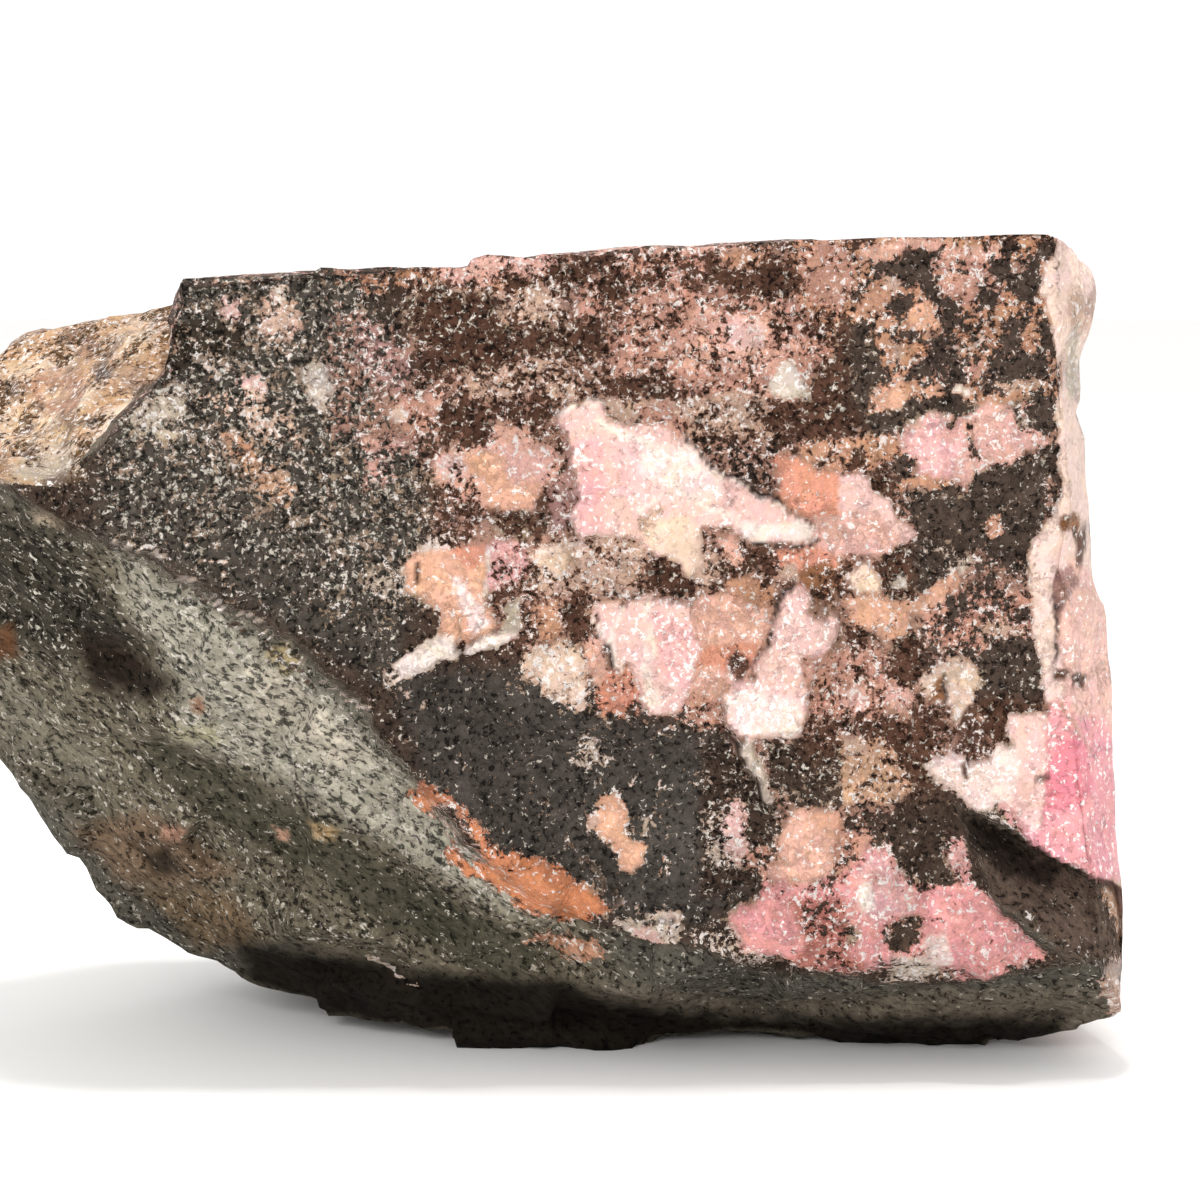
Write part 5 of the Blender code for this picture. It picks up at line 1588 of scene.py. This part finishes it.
    # Cleavage of pure ore: flat facets, each with its own tone and height, with edges
    # that waver with the clumps.
    wavering = add(tree, "ShaderNodeVectorMath", {"operation": "MULTIPLY_ADD"}, {
        0: clump_centred[0], 1: 3 * (FACET_WAVER * MILLIMETRE,), 2: place})
    facets = add(tree, "ShaderNodeTexVoronoi", {}, {
        "Vector": wavering[0], "Scale": per_metre(FACET_SIZE)})
    facet = add(tree, "ShaderNodeSeparateXYZ", {}, {0: facets["Color"]})
    facet_tone = add(tree, "ShaderNodeMapRange", {}, {
        0: facet["X"], **FACET_TONE})
    stepped_tone = add(tree, "ShaderNodeMix", {"data_type": "FLOAT"}, {
        0: pure[0], 2: 1.0, 3: facet_tone[0]})
    ore = add(tree, "ShaderNodeVectorMath", {"operation": "SCALE"}, {
        0: cloudy[0], "Scale": stepped_tone[0]})

    # White cleavage chips and painted glints the size of a grain: many where ore is frosted or
    # impure.
    impure = add(tree, "ShaderNodeMath", {"operation": "SUBTRACT"}, {0: 1.0, 1: pure[0]})
    speckling = add(tree, "ShaderNodeMath", {"operation": "MULTIPLY"}, {
        0: impure[0], 1: IMPURE_FROST})
    marks = add(tree, "ShaderNodeMath", {"operation": "MAXIMUM"}, {
        0: read["frost"]["Fac"], 1: speckling[0]})
    frosting = add(tree, "ShaderNodeMath", {"operation": "MULTIPLY_ADD"}, {
        0: marks[0], 1: FROST_WEIGHT, 2: grain["Y"]})
    frost = add(tree, "ShaderNodeMapRange", {}, {
        0: frosting[0], **CHIP_EDGE})
    frosted = add(tree, "ShaderNodeMix", {"data_type": "RGBA"}, {
        0: frost[0], 6: ore[0], 7: rgba(CHIP_AND_GLINT_WHITE)})
    mineral = add(tree, "ShaderNodeMix", {"data_type": "RGBA"}, {
        0: is_ore[0], 6: flecked[2], 7: frosted[2]})

    # Pits filled with black oxide and darkened further by painted shade: many in the ground, fewer
    # the purer the ore is.
    depth = add(tree, "ShaderNodeMath", {"operation": "MAXIMUM"}, {
        0: level[0], 1: 0.0})
    calm = add(tree, "ShaderNodeMapRange", {}, {
        0: read["flecks"]["Fac"], **FEWER_PITS})
    rising = add(tree, "ShaderNodeMath", {"operation": "MULTIPLY_ADD"}, {
        0: depth[0], 1: LEVEL_WEIGHT, 2: calm[0]})
    pit_level = add(tree, "ShaderNodeMath", {"operation": "ADD"}, {
        0: rising[0], 1: grain["Y"]})
    pit_shade_factor = add(tree, "ShaderNodeMapRange", {}, {
        0: pit_level[0], **PIT_EDGE})

    # Grit and finer: its hollows are darker, as light does not reach them.
    grit = add(tree, "ShaderNodeTexNoise", {}, {
        "Vector": place, "Scale": per_metre(GRIT_SIZE), "Detail": 8.0, "Roughness": 0.7})
    hollows = add(tree, "ShaderNodeMapRange", {}, {
        0: grit["Fac"], **CAVITY_SHADE})
    cavity = add(tree, "ShaderNodeMix", {"data_type": "FLOAT"}, {
        0: pure[0], 2: hollows[0], 3: 1.0})
    light = add(tree, "ShaderNodeMath", {"operation": "MULTIPLY"}, {
        0: cavity[0], 1: pit_shade_factor[0]})
    shaded = add(tree, "ShaderNodeVectorMath", {"operation": "SCALE"}, {
        0: mineral[2], "Scale": light[0]})
    tree.links.new(shaded[0], surface.inputs["Base Color"])

    gloss = add(tree, "ShaderNodeMapRange", {}, {
        0: is_ore[0], **ROUGHNESS})
    tree.links.new(gloss[0], surface.inputs["Roughness"])
    shine = add(tree, "ShaderNodeMapRange", {}, {
        0: is_ore[0], **SHINE})
    tree.links.new(shine[0], surface.inputs["Specular IOR Level"])
    surface.inputs["IOR"].default_value = STONE_IOR

    # Bump: grit, pits and grains on the ground, and the ore smoother and a little proud.
    stepped = add(tree, "ShaderNodeMath", {"operation": "MULTIPLY_ADD"}, {
        0: pit_shade_factor[0], 1: PIT_STEP, 2: grit["Fac"]})
    roughness = add(tree, "ShaderNodeMapRange", {}, {
        0: pure[0], **GRIT_LEFT})
    worn = add(tree, "ShaderNodeMath", {"operation": "MULTIPLY"}, {
        0: stepped[0], 1: roughness[0]})
    proud = add(tree, "ShaderNodeMath", {"operation": "MULTIPLY_ADD"}, {
        0: is_ore[0], 1: ORE_STEP, 2: worn[0]})
    in_steps = add(tree, "ShaderNodeMath", {"operation": "MULTIPLY"}, {
        0: facet["Y"], 1: pure[0]})
    height = add(tree, "ShaderNodeMath", {"operation": "MULTIPLY_ADD"}, {
        0: in_steps[0], 1: FACET_STEP, 2: proud[0]})
    bump = add(tree, "ShaderNodeBump", {}, {
        "Strength": 1.0, "Distance": BUMP_HEIGHT * MILLIMETRE, "Height": height[0]})
    tree.links.new(bump[0], surface.inputs["Normal"])
    return material


def paper():
    """Matt white paper: the pale seamless floor, bright and without gloss."""
    material = bpy.data.materials.new("white_paper")
    material.use_nodes = True
    tree = material.node_tree
    surface = tree.nodes["Principled BSDF"]
    surface.inputs["Base Color"].default_value = rgba(PAPER_WHITE)
    surface.inputs["Roughness"].default_value = PAPER_ROUGHNESS
    surface.inputs["Specular IOR Level"].default_value = PAPER_SHINE
    return material


# ------------------------------------------------------------- floor, light, camera

# Lengths in this part of the script are metres, apart from the lens and sensor.
LENS = 90.0
SENSOR = 36.0
NEAREST_SEEN = 0.01
FLOOR_HALF = 4.0

# Lamps as (name, place, target, width, height, power in watts): a soft box high above
# the front of the stone, and a weaker one in front and to the left.
LAMPS = [
    ("overhead_box", (-0.02, -0.03, 0.75), (0.0, -0.03, 0.0), 0.12, 0.10, 4.5),
    ("front_fill", (-0.35, -0.8, 0.5), (0.0, 0.0, 0.04), 0.5, 0.4, 3.2),
]
SURROUND = (1.0, 1.0, 1.0, 1.0)
SURROUND_STRENGTH = 1.1


def build_floor(material):
    """A flat square of paper, wide enough to fill the view behind the stone."""
    mesh = bpy.data.meshes.new("paper_floor")
    corners = [(x * FLOOR_HALF, y * FLOOR_HALF, 0.0)
               for x, y in ((-1, -1), (1, -1), (1, 1), (-1, 1))]
    mesh.from_pydata(corners, [], [(0, 1, 2, 3)])
    floor = bpy.data.objects.new("paper_floor", mesh)
    floor.data.materials.append(material)
    bpy.context.scene.collection.objects.link(floor)


def add_lamp(name, place, target, width, height, power):
    """A soft rectangular lamp aimed at a target, with its power in watts."""
    lamp = bpy.data.lights.new(name, "AREA")
    lamp.shape = "RECTANGLE"
    lamp.size = width
    lamp.size_y = height
    lamp.energy = power
    holder = bpy.data.objects.new(name, lamp)
    holder.location = place
    aim = Vector(target) - Vector(place)
    holder.rotation_euler = aim.to_track_quat("-Z", "Y").to_euler()
    bpy.context.scene.collection.objects.link(holder)


def set_light():
    """An even white surround, and the two soft lamps."""
    world = bpy.data.worlds.new("white_surround")
    bpy.context.scene.world = world
    world.use_nodes = True
    background = world.node_tree.nodes["Background"]
    background.inputs["Color"].default_value = SURROUND
    background.inputs["Strength"].default_value = SURROUND_STRENGTH
    for row in LAMPS:
        add_lamp(*row)


def set_camera():
    """Camera in front of the stone, level with its top and tipped down a little."""
    camera = bpy.data.cameras.new("front_camera")
    camera.lens = LENS
    camera.sensor_width = SENSOR
    camera.clip_start = NEAREST_SEEN
    holder = bpy.data.objects.new("front_camera", camera)
    holder.location = Vector(EYE) * MILLIMETRE
    holder.rotation_euler = (math.pi / 2 - EYE_TIP, 0.0, 0.0)
    bpy.context.scene.collection.objects.link(holder)
    bpy.context.scene.camera = holder
    bpy.context.scene.view_settings.view_transform = "Standard"


stone = build_stone()
stone.data.materials.append(rhodonite())
build_floor(paper())
set_light()
set_camera()
